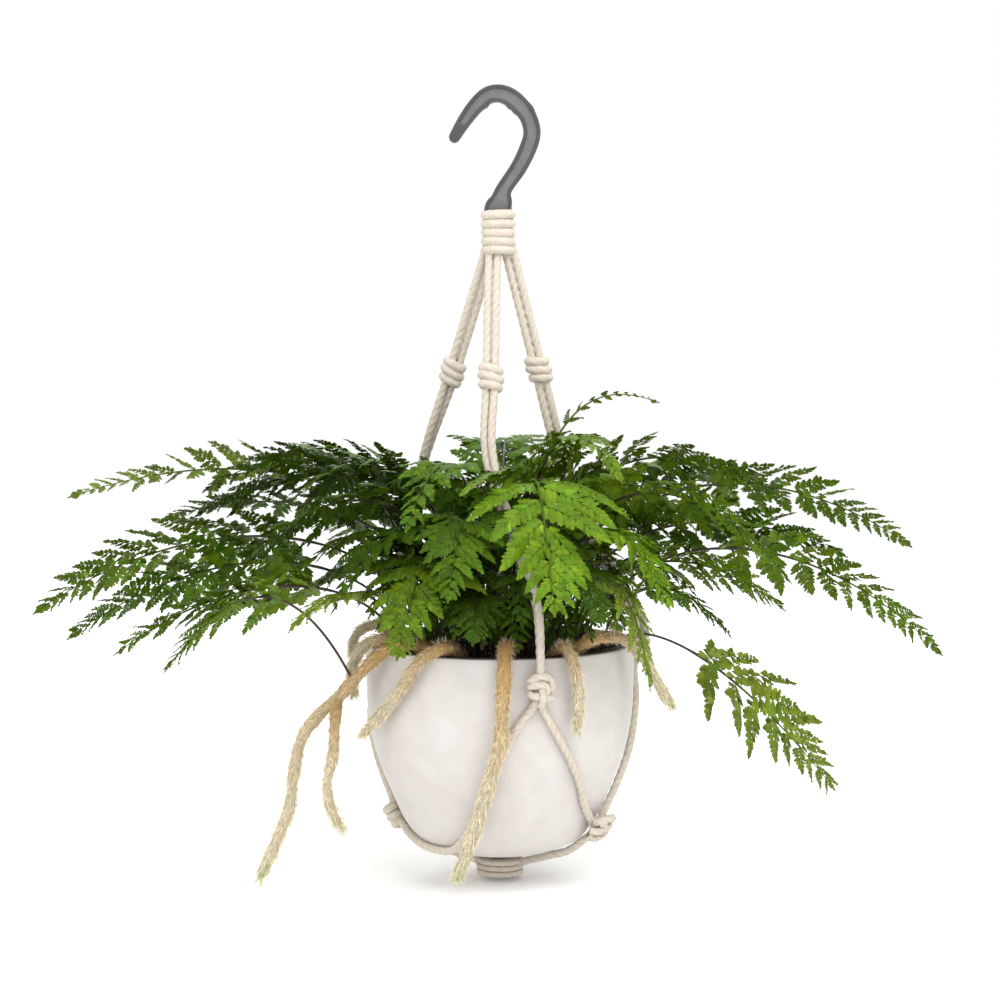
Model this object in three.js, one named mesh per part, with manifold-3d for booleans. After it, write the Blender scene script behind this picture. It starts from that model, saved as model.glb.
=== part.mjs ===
// Potted bears foot fern in a knotted rope hanger.
// Millimetres, +Z up. The origin is the point inside the hook's bow that bears on a rail.
// The rim of the pot lies RIM_DROP below it, and everything but the hook is drawn from the rim plane.
// Azimuths go round the pot in degrees: 0 is the front (-Y), 90 the right (+X), -90 the left.

import * as THREE from 'three';
import { mergeVertices } from 'three/addons/utils/BufferGeometryUtils.js';
import Module from 'manifold-3d';

const wasm = await Module();
wasm.setup();

// Driving dimensions

const RIM_DROP = 358;
const CLEARANCE = 0.35;

const POT_WALL = 4;
const POT_OUTLINE = [
  [90, 0], [89.8, -22], [88.9, -45], [85.8, -65], [79.8, -84],
  [71.5, -104], [64, -120], [54, -131.5], [40, -138], [30, -140],
];
const POT_ROWS = 8;
const POT_INNER_ROWS = 6;
const POT_SIDES = 30;

const LINER_TOP_RADIUS = 85.3;
const LINER_FOOT_RADIUS = 58.4;
const LINER_TOP = -1;
const LINER_FOOT = -118;
const LINER_WALL = 1.2;
const LINER_SIDES = 20;

const SOIL_CENTRE = -5;
const SOIL_EDGE = -9;

const HOOK_THICKNESS = 8;
const HOOK_WEB = 4;
const HOOK_RIM = 2.6;
const HOOK_SPINE = [
  // x, z, width across the arm
  [-29.9, -22.6, 7.3], [-23.3, -12.0, 9], [-16.0, -2.5, 10.3], [-8.5, 4.1, 11],
  [-1.0, 5.7, 11.3], [6.3, 3.4, 11.7], [13.2, -2.2, 11.5], [18.7, -10.0, 11],
  [21.1, -19.8, 11.3], [18.7, -29.6, 11.3], [12.3, -42.8, 10.7], [3.3, -56.5, 11],
  [-0.6, -66, 15], [-1.2, -78, 17],
];

const ROPE_RADIUS = 2.9;
const ROPE_SIDES = 6;
const WRAP_TOP = 287;
const WRAP_TURNS = 5;
const WRAP_RADIUS = 11.3;
const RING_TOP = -146.6;
const RING_TURNS = 2;
const RING_RADIUS = 16;

// Materials

const material = (color, roughness, metalness = 0) =>
  new THREE.MeshStandardMaterial({ color, roughness, metalness });

const CERAMIC = material(0xe6e2dc, 0.55);
const LINER_PLASTIC = material(0x17181a, 0.5);
const SOIL = material(0x33261c, 0.95);
const HOOK_PLASTIC = material(0x7a7b7e, 0.45);
const COTTON = material(0xe2d5c0, 0.9);
const FUR = material(0xc79a5a, 0.95);
const LEAF = {
  dark: material(0x1f4a1c, 0.45),
  deep: material(0x2c5f22, 0.45),
  mid: material(0x3f7a29, 0.45),
  light: material(0x6c9f38, 0.5),
  bright: material(0x77b02f, 0.5),
};

// Solids

function toSolid(geometry) {
  const bare = geometry.clone();
  bare.deleteAttribute('normal');
  bare.deleteAttribute('uv');
  const merged = mergeVertices(bare, 1e-4);
  const vertProperties = new Float32Array(merged.attributes.position.array);
  const triVerts = new Uint32Array(merged.index.array);
  return new wasm.Manifold(new wasm.Mesh({ numProp: 3, vertProperties, triVerts }));
}

function toGeometry(solid) {
  const mesh = solid.getMesh();
  const geometry = new THREE.BufferGeometry();
  geometry.setAttribute('position', new THREE.BufferAttribute(new Float32Array(mesh.vertProperties), 3));
  geometry.setIndex(new THREE.BufferAttribute(new Uint32Array(mesh.triVerts), 1));
  geometry.computeVertexNormals();
  return geometry;
}

function joined(geometries) {
  return geometries.map(toSolid).reduce((whole, solid) => whole.add(solid));
}

// A geometry from rings of points that all have the same count, closed by a fan at both ends.
function loft(rings) {
  const count = rings[0].length;
  const points = rings.flat();
  const faces = [];
  for (let i = 0; i + 1 < rings.length; i++) {
    for (let j = 0; j < count; j++) {
      const a = i * count + j;
      const b = i * count + (j + 1) % count;
      faces.push(a, b, b + count, a, b + count, a + count);
    }
  }
  const last = (rings.length - 1) * count;
  for (let j = 1; j + 1 < count; j++) {
    faces.push(0, j + 1, j);
    faces.push(last, last + j, last + j + 1);
  }
  const geometry = new THREE.BufferGeometry().setFromPoints(points);
  geometry.setIndex(faces);
  return geometry;
}

// Turns a lathe, which three.js spins about Y, to stand on Z.
function lathe(profile, sides) {
  const points = profile.map(([r, z]) => new THREE.Vector2(r, z));
  return new THREE.LatheGeometry(points, sides).rotateX(Math.PI / 2);
}

// Places round the pot

const radians = THREE.MathUtils.degToRad;
const lerp = THREE.MathUtils.lerp;
const outward = (azimuth) =>
  new THREE.Vector3(Math.sin(radians(azimuth)), -Math.cos(radians(azimuth)), 0);
const sideways = (azimuth) =>
  new THREE.Vector3(Math.cos(radians(azimuth)), Math.sin(radians(azimuth)), 0);
const around = (azimuth, radius, z) => outward(azimuth).multiplyScalar(radius).setZ(z);

const outline = new THREE.SplineCurve(POT_OUTLINE.map(([r, z]) => new THREE.Vector2(r, z)));
const outlineSamples = outline.getPoints(200);

// The pot's outer radius at a height, and how steeply the wall leans inwards there.
function wallAt(z) {
  const i = outlineSamples.findIndex((p) => p.y <= z);
  if (i <= 0) return { radius: outlineSamples[0].x, lean: 0 };
  const a = outlineSamples[i - 1];
  const b = outlineSamples[i];
  const radius = lerp(a.x, b.x, (a.y - z) / (a.y - b.y));
  return { radius, lean: Math.atan2(a.x - b.x, a.y - b.y) };
}

// A point that stands a given distance off the pot's outer wall.
function offWall(azimuth, z, distance) {
  const wall = wallAt(z);
  const radius = wall.radius + distance * Math.cos(wall.lean);
  return around(azimuth, radius, z - distance * Math.sin(wall.lean));
}

// The soil fills the nursery pot to its clearance, and its top is a low mound.
const linerInside = (z) => LINER_WALL * -1 + lerp(
  LINER_TOP_RADIUS, LINER_FOOT_RADIUS, (LINER_TOP - z) / (LINER_TOP - LINER_FOOT));
const SOIL_RADIUS = linerInside(SOIL_EDGE) - CLEARANCE;
const soilHeight = (radius) => lerp(SOIL_CENTRE, SOIL_EDGE, radius / SOIL_RADIUS);

// Pot, nursery pot and soil

function potGeometry() {
  const outer = outline.getSpacedPoints(POT_ROWS).map((p) => [p.x, p.y]);
  const inner = outline.getSpacedPoints(POT_INNER_ROWS).slice(0, -1).map((p) => {
    const lean = wallAt(p.y).lean;
    return [p.x - POT_WALL * Math.cos(lean), p.y + POT_WALL * Math.sin(lean)];
  });
  const floor = inner[inner.length - 1][1] - 1.5;
  const foot = outer[outer.length - 1][1];
  return lathe([[0, foot], ...outer.reverse(), ...inner, [0, floor]], POT_SIDES);
}

function linerGeometry() {
  return lathe([
    [0, LINER_FOOT], [LINER_FOOT_RADIUS, LINER_FOOT], [LINER_TOP_RADIUS, LINER_TOP],
    [LINER_TOP_RADIUS - LINER_WALL, LINER_TOP],
    [LINER_FOOT_RADIUS - LINER_WALL, LINER_FOOT + LINER_WALL], [0, LINER_FOOT + LINER_WALL],
  ], LINER_SIDES);
}

function soilSolid(holes) {
  const foot = LINER_FOOT + LINER_WALL + CLEARANCE;
  const footRadius = linerInside(foot) - CLEARANCE;
  const body = toSolid(lathe([
    [0, foot], [footRadius, foot], [SOIL_RADIUS, SOIL_EDGE], [0, SOIL_CENTRE],
  ], LINER_SIDES));
  return holes.reduce((soil, hole) => soil.subtract(hole), body);
}

// Hook: an open bow with a raised rim on both sides of a thinner web

function hookShape(inset) {
  const spine = new THREE.SplineCurve(HOOK_SPINE.map(([x, z]) => new THREE.Vector2(x, z)));
  const steps = 20;
  const left = [];
  const right = [];
  const first = inset > 0 ? 1 : 0;
  const last = inset > 0 ? steps - 2 : steps;
  for (let i = first; i <= last; i++) {
    const t = i / steps;
    const at = t * (HOOK_SPINE.length - 1);
    const k = Math.min(Math.floor(at), HOOK_SPINE.length - 2);
    const half = lerp(HOOK_SPINE[k][2], HOOK_SPINE[k + 1][2], at - k) / 2 - inset;
    const p = spine.getPoint(t);
    const along = spine.getTangent(t);
    left.push(new THREE.Vector2(p.x - along.y * half, p.y + along.x * half));
    right.unshift(new THREE.Vector2(p.x + along.y * half, p.y - along.x * half));
  }
  return new THREE.Shape([...left, ...right]);
}

// A flat outline in X and Z, given a thickness that is centred on the plane Y = middle.
function plate(shape, thickness, middle) {
  const geometry = new THREE.ExtrudeGeometry(shape, { depth: thickness, bevelEnabled: false });
  return geometry.rotateX(Math.PI / 2).translate(0, middle + thickness / 2, 0);
}

function hookGeometry() {
  const tip = new THREE.CylinderGeometry(4.4, 4.4, HOOK_THICKNESS, 12)
    .translate(HOOK_SPINE[0][0] + 0.6, 0, HOOK_SPINE[0][1] + 1);
  const recess = (HOOK_THICKNESS - HOOK_WEB) / 2;
  const middle = (HOOK_THICKNESS - recess) / 2;
  const body = joined([plate(hookShape(0), HOOK_THICKNESS, 0), tip]);
  const hollow = hookShape(HOOK_RIM);
  return toGeometry(body
    .subtract(toSolid(plate(hollow, recess + 0.02, middle + 0.01)))
    .subtract(toSolid(plate(hollow, recess + 0.02, -middle - 0.01))));
}

// Rope: a plain round section along a smooth route

function ropeGeometry(points, steps, radius = ROPE_RADIUS) {
  const section = new THREE.Shape();
  for (let i = 0; i < ROPE_SIDES; i++) {
    const turn = (i / ROPE_SIDES) * Math.PI * 2;
    const corner = [radius * Math.cos(turn), radius * Math.sin(turn)];
    if (i === 0) section.moveTo(...corner);
    else section.lineTo(...corner);
  }
  const route = new THREE.CatmullRomCurve3(points, false, 'centripetal');
  return new THREE.ExtrudeGeometry(section, { steps, extrudePath: route, bevelEnabled: false });
}

// Stacked turns of rope: a lathe with one bulge for each turn.
function stackedTurns(radius, top, turns) {
  const pitch = ROPE_RADIUS * 2;
  const profile = [[0, top - turns * pitch], [radius - 1.8, top - turns * pitch]];
  for (let i = turns - 1; i >= 0; i--) {
    const middle = top - (i + 0.5) * pitch;
    profile.push([radius, middle], [radius - 1.8, top - i * pitch]);
  }
  return lathe([...profile, [0, top]], 10);
}

// A knot: three slanted bulging loops, flattened against what it lies on.
// Its frame is a centre, the way the rope runs through it, and the way it faces.
// A grown knot is the plain shape round it that ropes are cut back to.
function knotGeometry({ centre, along, facing, length, width, depth, slant }, grown = 0) {
  const waist = 0.8;
  const profile = [[0, -0.5], [waist * 0.8, -0.5]];
  for (const middle of [-1 / 3, 0, 1 / 3]) {
    profile.push([1, middle], [waist, middle + 1 / 6]);
  }
  profile[profile.length - 1] = [waist * 0.8, 0.5];
  profile.push([0, 0.5]);
  const plain = [[0, -0.5], [1, -0.5], [1, 0.5], [0, 0.5]];
  const z = along.clone().normalize();
  const x = new THREE.Vector3().crossVectors(facing, z).normalize();
  const y = new THREE.Vector3().crossVectors(z, x);
  const shear = new THREE.Matrix4().set(1, 0, 0, 0, 0, 1, 0, 0, slant, 0, 1, 0, 0, 0, 0, 1);
  const place = new THREE.Matrix4().makeBasis(x, y, z).setPosition(centre);
  return lathe(grown > 0 ? plain : profile, 8)
    .applyMatrix4(shear)
    .scale(width / 2 + grown, depth / 2 + grown, length + 2 * grown)
    .applyMatrix4(place);
}

// Hanger

const LEGS = {
  left: {
    azimuth: -130, rimHeight: -4, knot: [-32, 20, 180],
    route: [[-7, 1, 261], [-32, 20, 180], [-47, 32, 125], [-62, 47, 55]],
  },
  front: {
    azimuth: 15, rimHeight: -17, knot: [-6, -26, 177],
    route: [[-4, -4, 261], [-6, -26, 177], [-7, -42, 128], [8, -68, 78], [23, -87, 36]],
  },
  right: {
    azimuth: 104, rimHeight: -6, knot: [26, 8, 182],
    route: [[6, 1, 261], [26, 8, 182], [41, 13, 125], [68, 20, 60]],
  },
};

// Where the ropes of the net run over the pot, by azimuth and height, from a rim knot to each low knot.
const DIAGONALS = {
  front: {
    right: [[17, -31], [22, -45], [30, -64], [38, -82], [48, -102], [57.5, -112]],
    left: [[12.5, -31], [6, -45], [0, -66], [-6, -88], [-14, -108], [-30, -128], [-56, -131],
      [-78, -127.5]],
  },
  left: {
    left: [[-126, -17], [-114, -30], [-105, -50], [-100, -75], [-97, -95], [-95, -106]],
    back: [[-134, -17], [-148, -40], [-166, -68], [-180, -92], [-188, -106]],
  },
  right: {
    right: [[101, -19], [96, -40], [90, -70], [84, -94], [76, -109]],
    back: [[107, -19], [122, -48], [141, -78], [155, -100], [161, -107]],
  },
};

const LOW_KNOTS = {
  right: { azimuth: 67, height: -119 },
  left: { azimuth: -95, height: -117 },
  back: { azimuth: 167, height: -117 },
};

const RIM_KNOT = { length: 22, width: 17, depth: 12.5, slant: 0.1 };
const LOW_KNOT = { length: 17, width: 18, depth: 12.5, slant: -0.12 };
const UPPER_KNOT = { length: 20, width: 17, depth: 13, slant: 0.16 };

// The knot that gathers a leg's ropes at the rim, and the one that holds two nets' ropes under the pot.
const rimKnot = (leg, grown) => knotGeometry({
  centre: around(leg.azimuth, 97.2, leg.rimHeight),
  along: new THREE.Vector3(0, 0, 1),
  facing: outward(leg.azimuth),
  ...RIM_KNOT,
}, grown);

function lowKnot({ azimuth, height }, grown) {
  const centre = offWall(azimuth, height, 7);
  const along = centre.clone().sub(offWall(azimuth, height - 6, 7));
  const facing = centre.clone().sub(offWall(azimuth, height, 0));
  return knotGeometry({ centre, along, facing, ...LOW_KNOT }, grown);
}

// Every rope is drawn into the wrap, knot or ring that it ends at, and then cut back to its clearance.
const largest = (solid) => solid.decompose().sort((a, b) => b.volume() - a.volume())[0];

// The two ropes of a leg lie side by side at the wrap and one behind the other at the rim.
function legGeometry(leg) {
  const top = new THREE.Vector3(1, 0, 0);
  const rim = outward(leg.azimuth);
  const ends = [98.4, 97.8].map((radius, i) =>
    around(leg.azimuth, radius, leg.rimHeight + RIM_KNOT.length * (0.62 - 0.4 * i)));
  const route = [...leg.route.map((p) => new THREE.Vector3(...p)), ...ends];
  const ropes = [-1, 1].map((side) => {
    const points = route.map((p, i) => {
      const turn = Math.min(1, i / leg.route.length);
      const apart = top.clone().lerp(rim, turn).normalize();
      return p.clone().addScaledVector(apart, side * ROPE_RADIUS * 1.04);
    });
    return ropeGeometry(points, 7);
  });
  const centre = new THREE.Vector3(...leg.knot);
  const along = new THREE.Vector3(...leg.route[0]).sub(centre);
  const knot = knotGeometry({ centre, along, facing: new THREE.Vector3(0, -1, 0), ...UPPER_KNOT });
  const underWrap = WRAP_TOP - WRAP_TURNS * ROPE_RADIUS * 2 - CLEARANCE;
  return toGeometry(largest(joined([...ropes, knot])
    .trimByPlane([0, 0, -1], -underWrap)
    .subtract(toSolid(rimKnot(leg, CLEARANCE)))));
}

function netGeometry(name) {
  const leg = LEGS[name];
  const start = around(leg.azimuth, 97.2, leg.rimHeight - RIM_KNOT.length * 0.3);
  const ropes = Object.entries(DIAGONALS[name]).map(([low, route]) => {
    const points = route.map(([azimuth, z]) => offWall(azimuth, z, ROPE_RADIUS + 1));
    const end = offWall(LOW_KNOTS[low].azimuth, LOW_KNOTS[low].height, 6);
    return toSolid(ropeGeometry([start, ...points, end], 11))
      .subtract(toSolid(lowKnot(LOW_KNOTS[low], CLEARANCE)));
  });
  return toGeometry(largest(ropes.reduce((net, rope) => net.add(rope), toSolid(rimKnot(leg, 0)))));
}

function lowKnotGeometry(knot) {
  const { azimuth, height } = knot;
  const base = ropeGeometry([
    offWall(azimuth, height, 7), offWall(azimuth, height - 10, ROPE_RADIUS + 0.8),
    around(azimuth, 50, -139.5), around(azimuth, 34, -143.7), around(azimuth, RING_RADIUS - 3, -149.6),
  ], 6);
  const ring = new THREE.CylinderGeometry(RING_RADIUS + CLEARANCE, RING_RADIUS + CLEARANCE, 30, 10)
    .rotateX(Math.PI / 2).translate(0, 0, RING_TOP);
  return toGeometry(largest(joined([lowKnot(knot, 0), base]).subtract(toSolid(ring))));
}

// Rhizomes: creeping stems with an uneven scaly skin, thicker where they leave the soil

const RHIZOMES = {
  left_long: {
    radius: 4, steps: 19,
    route: [[-26, -40, -14], [-38, -56, -1], [-57, -68, 7.5], [-73, -63, 3], [-89, -55, -12],
      [-104, -50, -29], [-117, -48, -41], [-129, -48, -57], [-135, -50, -84], [-137, -50, -101],
      [-148, -50, -130], [-160, -50, -156]],
    branch: [[-106, -50, -31], [-107, -58, -48], [-108, -60, -66], [-112, -61, -86], [-108, -62, -105],
      [-102, -63, -114]],
  },
  left_short: {
    radius: 3.6, steps: 12,
    route: [[-40, -30, -14], [-56, -44, 4], [-73, -52, 9], [-88, -43, 3], [-97, -37, -14], [-96, -35, -32]],
  },
  front_left: {
    radius: 3.8, steps: 13,
    route: [[-20, -54, -14], [-28, -68, 1], [-37, -80, 6.5], [-50, -82, -1], [-63, -74, -21],
      [-74, -63, -36], [-90, -52, -55]],
  },
  front: {
    radius: 4.4, steps: 17,
    route: [[6, -52, -14], [5, -68, 1], [4, -86, 7.5], [3, -97, 0], [2, -98.5, -20], [1, -99.5, -36],
      [0, -101, -53], [-5, -97, -70], [-10, -91.5, -90],
      [-16, -84, -111], [-23, -78, -131], [-28, -76, -145]],
  },
  front_right: {
    radius: 3.5, steps: 12,
    route: [[28, -52, -14], [35, -68, 1], [42, -81, 6.5], [47, -87, -4], [50, -85, -25], [49, -85, -46]],
  },
  right: {
    radius: 3.8, steps: 14,
    route: [[42, -50, -14], [49, -64, 3], [61, -65, 10.5], [75, -58, 10.5], [87, -53, 4], [95, -51, -6],
      [101, -50, -18], [112, -50, -37]],
  },
  back_left: {
    radius: 3.4, steps: 12,
    route: [[-50, 14, -14], [-68, 20, 2], [-86, 26, 7.5], [-98, 24, 1], [-101, 16, -13]],
  },
  back: {
    radius: 3.6, steps: 12,
    route: [[12, 50, -14], [18, 68, 1], [24, 84, 7.5], [28, 95, 0], [30, 97, -20], [33, 97, -44]],
  },
};
const RHIZOME_SIDES = 6;

// The radius shrinks to a blunt tip, and every other corner stands out as a scale.
function rhizomeLoft(points, radius, steps) {
  const stops = points.map((p) => new THREE.Vector3(...p));
  const route = new THREE.CatmullRomCurve3(stops, false, 'centripetal');
  const frames = route.computeFrenetFrames(steps, false);
  const rings = [];
  for (let i = 0; i <= steps; i++) {
    const share = i / steps;
    const taper = radius * (1 - 0.28 * share) * (i === steps ? 0.35 : 1);
    const middle = route.getPointAt(share);
    const ring = [];
    for (let j = 0; j < RHIZOME_SIDES; j++) {
      const scale = (i + j) % 2 === 0 ? 1.06 : 0.9;
      const turn = (j / RHIZOME_SIDES) * Math.PI * 2;
      ring.push(middle.clone()
        .addScaledVector(frames.normals[i], taper * scale * Math.cos(turn))
        .addScaledVector(frames.binormals[i], taper * scale * Math.sin(turn)));
    }
    rings.push(ring);
  }
  return loft(rings);
}

// A plain hole for the rhizome's root end: straight down from where it enters the soil.
function rhizomeHole({ route, radius }) {
  const [x, y, z] = route[0];
  const top = route[1];
  const direction = new THREE.Vector3(top[0] - x, top[1] - y, top[2] - z).normalize();
  const hole = new THREE.CylinderGeometry(radius * 1.4, radius * 1.4, 34, 6).rotateX(Math.PI / 2);
  const turn = new THREE.Quaternion().setFromUnitVectors(new THREE.Vector3(0, 0, 1), direction);
  return toSolid(hole.applyQuaternion(turn).translate(
    x + direction.x * 15, y + direction.y * 15, z + direction.z * 15));
}

// Fronds: a thin stalk that rises and arches over, with a triangular blade cut to the rib into leaflets.
// az: the way it grows; r0: where it leaves the soil; reach and tip: where it ends; peak: half way height;
// width: length of the lowest leaflets; start: where the blade begins, as a share of the whole length;
// roll: how far the blade leans to one side; pairs: leaflets on each side.
// az0 and z0: azimuth and height of the root, where not az and the soil; on: what it grows from.
// rise and shoulder: where the stalk turns outwards and where it turns over, as shares of its span.
// fold and droop: how far a leaflet lifts from the rib and then falls; deep: how far the root goes in.
// beside: the larger frond that a short inner frond shares its root and its node with.

const FROND_DEFAULTS = {
  r0: 40, az0: null, z0: null, peak: 90, tip: 30, width: 52, start: 0.42, roll: 0,
  pairs: 6, shoulder: 0.62, rise: 0.12, fold: 0.12, droop: 0.16, deep: 11, tone: 'deep',
};

const FRONDS = {
  // left
  left_high: { az: -101, r0: 20, reach: 306, peak: 108, tip: 92, width: 42, start: 0.5,
    roll: 34, tone: 'light', fold: 0.3 },
  left_long: { az: -91, r0: 42, reach: 315, peak: 70, tip: 17, width: 66, start: 0.45,
    roll: 42, tone: 'mid', pairs: 6 },
  left_low: { az: -79, r0: 56, reach: 286, peak: 56, tip: 8, width: 60, start: 0.42, roll: 42,
    tone: 'deep' },
  left_droop: { az: -68, r0: 66, reach: 262, peak: 43, tip: 4, width: 52, start: 0.42,
    roll: 36, tone: 'mid' },
  left_outer: { az: -66, az0: -61.3, r0: 110, z0: -17, deep: 4, on: 'rhizome_left_long', reach: 232,
    peak: 38, tip: -8, width: 46, start: 0.5, roll: 30, tone: 'mid' },
  left_back: { az: -113, r0: 34, reach: 262, peak: 84, tip: 74, width: 50, start: 0.45,
    roll: 24, tone: 'dark', pairs: 5 },
  left_crown: { az: -114, r0: 12, reach: 205, peak: 112, tip: 104, width: 56, start: 0.5,
    roll: 26, tone: 'deep', pairs: 5 },
  left_crest: { az: -77, r0: 14, reach: 205, peak: 110, tip: 86, width: 58, start: 0.48,
    roll: 28, tone: 'dark' },
  left_front: { az: -57, r0: 28, reach: 208, peak: 98, tip: 41, width: 58, start: 0.45,
    roll: 30, tone: 'dark' },
  left_under: { az: -50, az0: -62, r0: 74, reach: 172, peak: 40, tip: 20, width: 32,
    start: 0.5, roll: 10, tone: 'light', pairs: 5 },
  // front
  front_left: { az: -28, r0: 58, reach: 136, peak: 62, tip: 4, width: 52, start: 0.42,
    roll: -6, tone: 'mid' },
  front_leaning: { az: -42, r0: 36, reach: 150, peak: 78, tip: 44, width: 54, start: 0.45,
    roll: 6, tone: 'dark' },
  front_centre: { az: -13, r0: 46, reach: 142, peak: 88, tip: 42, width: 50, start: 0.5, tone: 'deep' },
  front_broad: { az: 13, az0: 38, r0: 28, reach: 148, peak: 112, tip: 34, width: 82,
    start: 0.44, tone: 'bright', pairs: 7 },
  front_low: { az: -8, az0: -16, r0: 62, reach: 122, peak: 38, tip: 14, width: 34, start: 0.45,
    tone: 'dark', pairs: 5 },
  front_right: { az: 43, r0: 47, reach: 155, peak: 81, tip: 34, width: 56, start: 0.42,
    roll: -8, tone: 'bright', az0: 46 },
  front_hanging: { az: 46, r0: 60, reach: 132, peak: 50, tip: -20, width: 38, start: 0.4,
    roll: -10, tone: 'light' },
  front_inner: { az: 27, az0: 36, r0: 56, reach: 138, peak: 58, tip: 26, width: 46,
    start: 0.46, tone: 'dark' },
  centre_left: { az: -24, r0: 20, reach: 142, peak: 120, tip: 84, width: 49, start: 0.48,
    roll: 4, tone: 'deep' },
  centre_right: { az: 40, az0: 50, r0: 12, reach: 120, peak: 134, tip: 112, width: 41,
    start: 0.5, tone: 'mid' },
  // right
  right_low: { az: 80, r0: 74, reach: 224, peak: 2, tip: -94, width: 60, start: 0.42,
    roll: -50, rise: 0.02,
    shoulder: 0.4, tone: 'light', pairs: 6 },
  right_thin: { az: 69, r0: 70, reach: 160, peak: 40, tip: 10, width: 30, start: 0.5,
    roll: -30, tone: 'deep', pairs: 5 },
  right_under: { az: 75, r0: 50, reach: 192, peak: 56, tip: 26, width: 48, start: 0.45,
    roll: -34, tone: 'mid' },
  right_middle: { az: 64, r0: 26, reach: 205, peak: 102, tip: 48, width: 56, start: 0.45,
    roll: -36, tone: 'mid' },
  right_level: { az: 88, r0: 36, reach: 232, peak: 78, tip: 57, width: 54, start: 0.45,
    roll: -38, tone: 'deep' },
  right_long: { az: 92, r0: 54, reach: 300, peak: 62, tip: -12, width: 50, start: 0.48,
    roll: -38, tone: 'mid', pairs: 6 },
  right_reach: { az: 100, r0: 30, reach: 290, peak: 102, tip: 58, width: 52, start: 0.5,
    roll: -36, tone: 'mid' },
  right_crown: { az: 113, r0: 16, reach: 215, peak: 104, tip: 94, width: 56, start: 0.46,
    roll: -26, tone: 'deep' },
  right_crest: { az: 77, r0: 12, reach: 190, peak: 120, tip: 94, width: 54, start: 0.48,
    roll: -30, tone: 'mid' },
  sprig: { az: 86, r0: 8, reach: 106, peak: 150, tip: 160, width: 16, start: 0.55, roll: -30,
    tone: 'light' },
  // back
  back_right: { az: 132, r0: 42, reach: 250, peak: 84, tip: 40, width: 58, start: 0.45,
    tone: 'deep', pairs: 5 },
  back_right_high: { az: 150, r0: 20, reach: 205, peak: 98, tip: 84, width: 56, start: 0.46,
    tone: 'mid', pairs: 5 },
  back_middle: { az: 168, r0: 46, reach: 240, peak: 74, tip: 20, width: 60, start: 0.45,
    tone: 'dark', pairs: 5 },
  back_crest: { az: 178, r0: 12, reach: 200, peak: 126, tip: 90, width: 58, start: 0.48,
    tone: 'deep', pairs: 5 },
  back_left: { az: -148, r0: 42, reach: 246, peak: 80, tip: 34, width: 58, start: 0.45,
    tone: 'deep', pairs: 5 },
  back_left_high: { az: -154, r0: 20, reach: 205, peak: 102, tip: 84, width: 56, start: 0.46,
    tone: 'mid', pairs: 5 },
  back_low: { az: 152, r0: 68, reach: 190, peak: 34, tip: -20, width: 46, start: 0.42,
    tone: 'mid', pairs: 5 },
  // short fronds that fill the heart of the plant
  inner_back: { az: 195, r0: 46, reach: 140, peak: 52, tip: 22, width: 44, start: 0.42,
    tone: 'dark', pairs: 4, beside: 'back_middle', az0: 168 },
  inner_back_right: { az: 125, r0: 68, reach: 150, peak: 44, tip: 12, width: 44, start: 0.42,
    tone: 'mid', pairs: 4, beside: 'back_low', az0: 152 },
  inner_back_left: { az: -106, r0: 34, reach: 156, peak: 46, tip: 16, width: 42, start: 0.42,
    tone: 'dark', pairs: 4, beside: 'left_back', az0: -113 },
};

const STALK_HALF = 1;
const STALK_THICK = 2;
const BLADE_THICK = 0.8;
const STALK_STEPS = 4;

class Rachis {
  constructor(frond) {
    const f = frond;
    const base = around(f.az0 ?? f.az, f.r0, f.z0 ?? soilHeight(f.r0));
    const crown = (f.peak - 0.125 * (base.z + f.tip)) / 0.75;
    const span = f.reach - f.r0;
    const near = around(lerp(f.az0 ?? f.az, f.az, 0.5), f.r0 + f.rise * span, crown);
    const far = around(f.az, f.r0 + f.shoulder * span, crown);
    this.curve = new THREE.CubicBezierCurve3(base, near, far, around(f.az, f.reach, f.tip));
    this.curve.arcLengthDivisions = 80;
    this.length = this.curve.getLength();
    this.side = sideways(f.az);
    this.roll = radians(f.roll);
  }

  // Place, direction, side and upward normal at a distance along the stalk, straight beyond both ends.
  frame(distance) {
    const share = THREE.MathUtils.clamp(distance / this.length, 0, 1);
    const along = this.curve.getTangentAt(share);
    const place = this.curve.getPointAt(share);
    place.addScaledVector(along, distance - share * this.length);
    const side = this.side.clone().addScaledVector(along, -this.side.dot(along)).normalize();
    const normal = new THREE.Vector3().crossVectors(along, side);
    const roll = this.roll * THREE.MathUtils.smoothstep(share, 0.1, 0.5);
    const rolled = side.clone().multiplyScalar(Math.cos(roll)).addScaledVector(normal, Math.sin(roll));
    return { place, along, side: rolled, normal: new THREE.Vector3().crossVectors(along, rolled) };
  }
}

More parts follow.
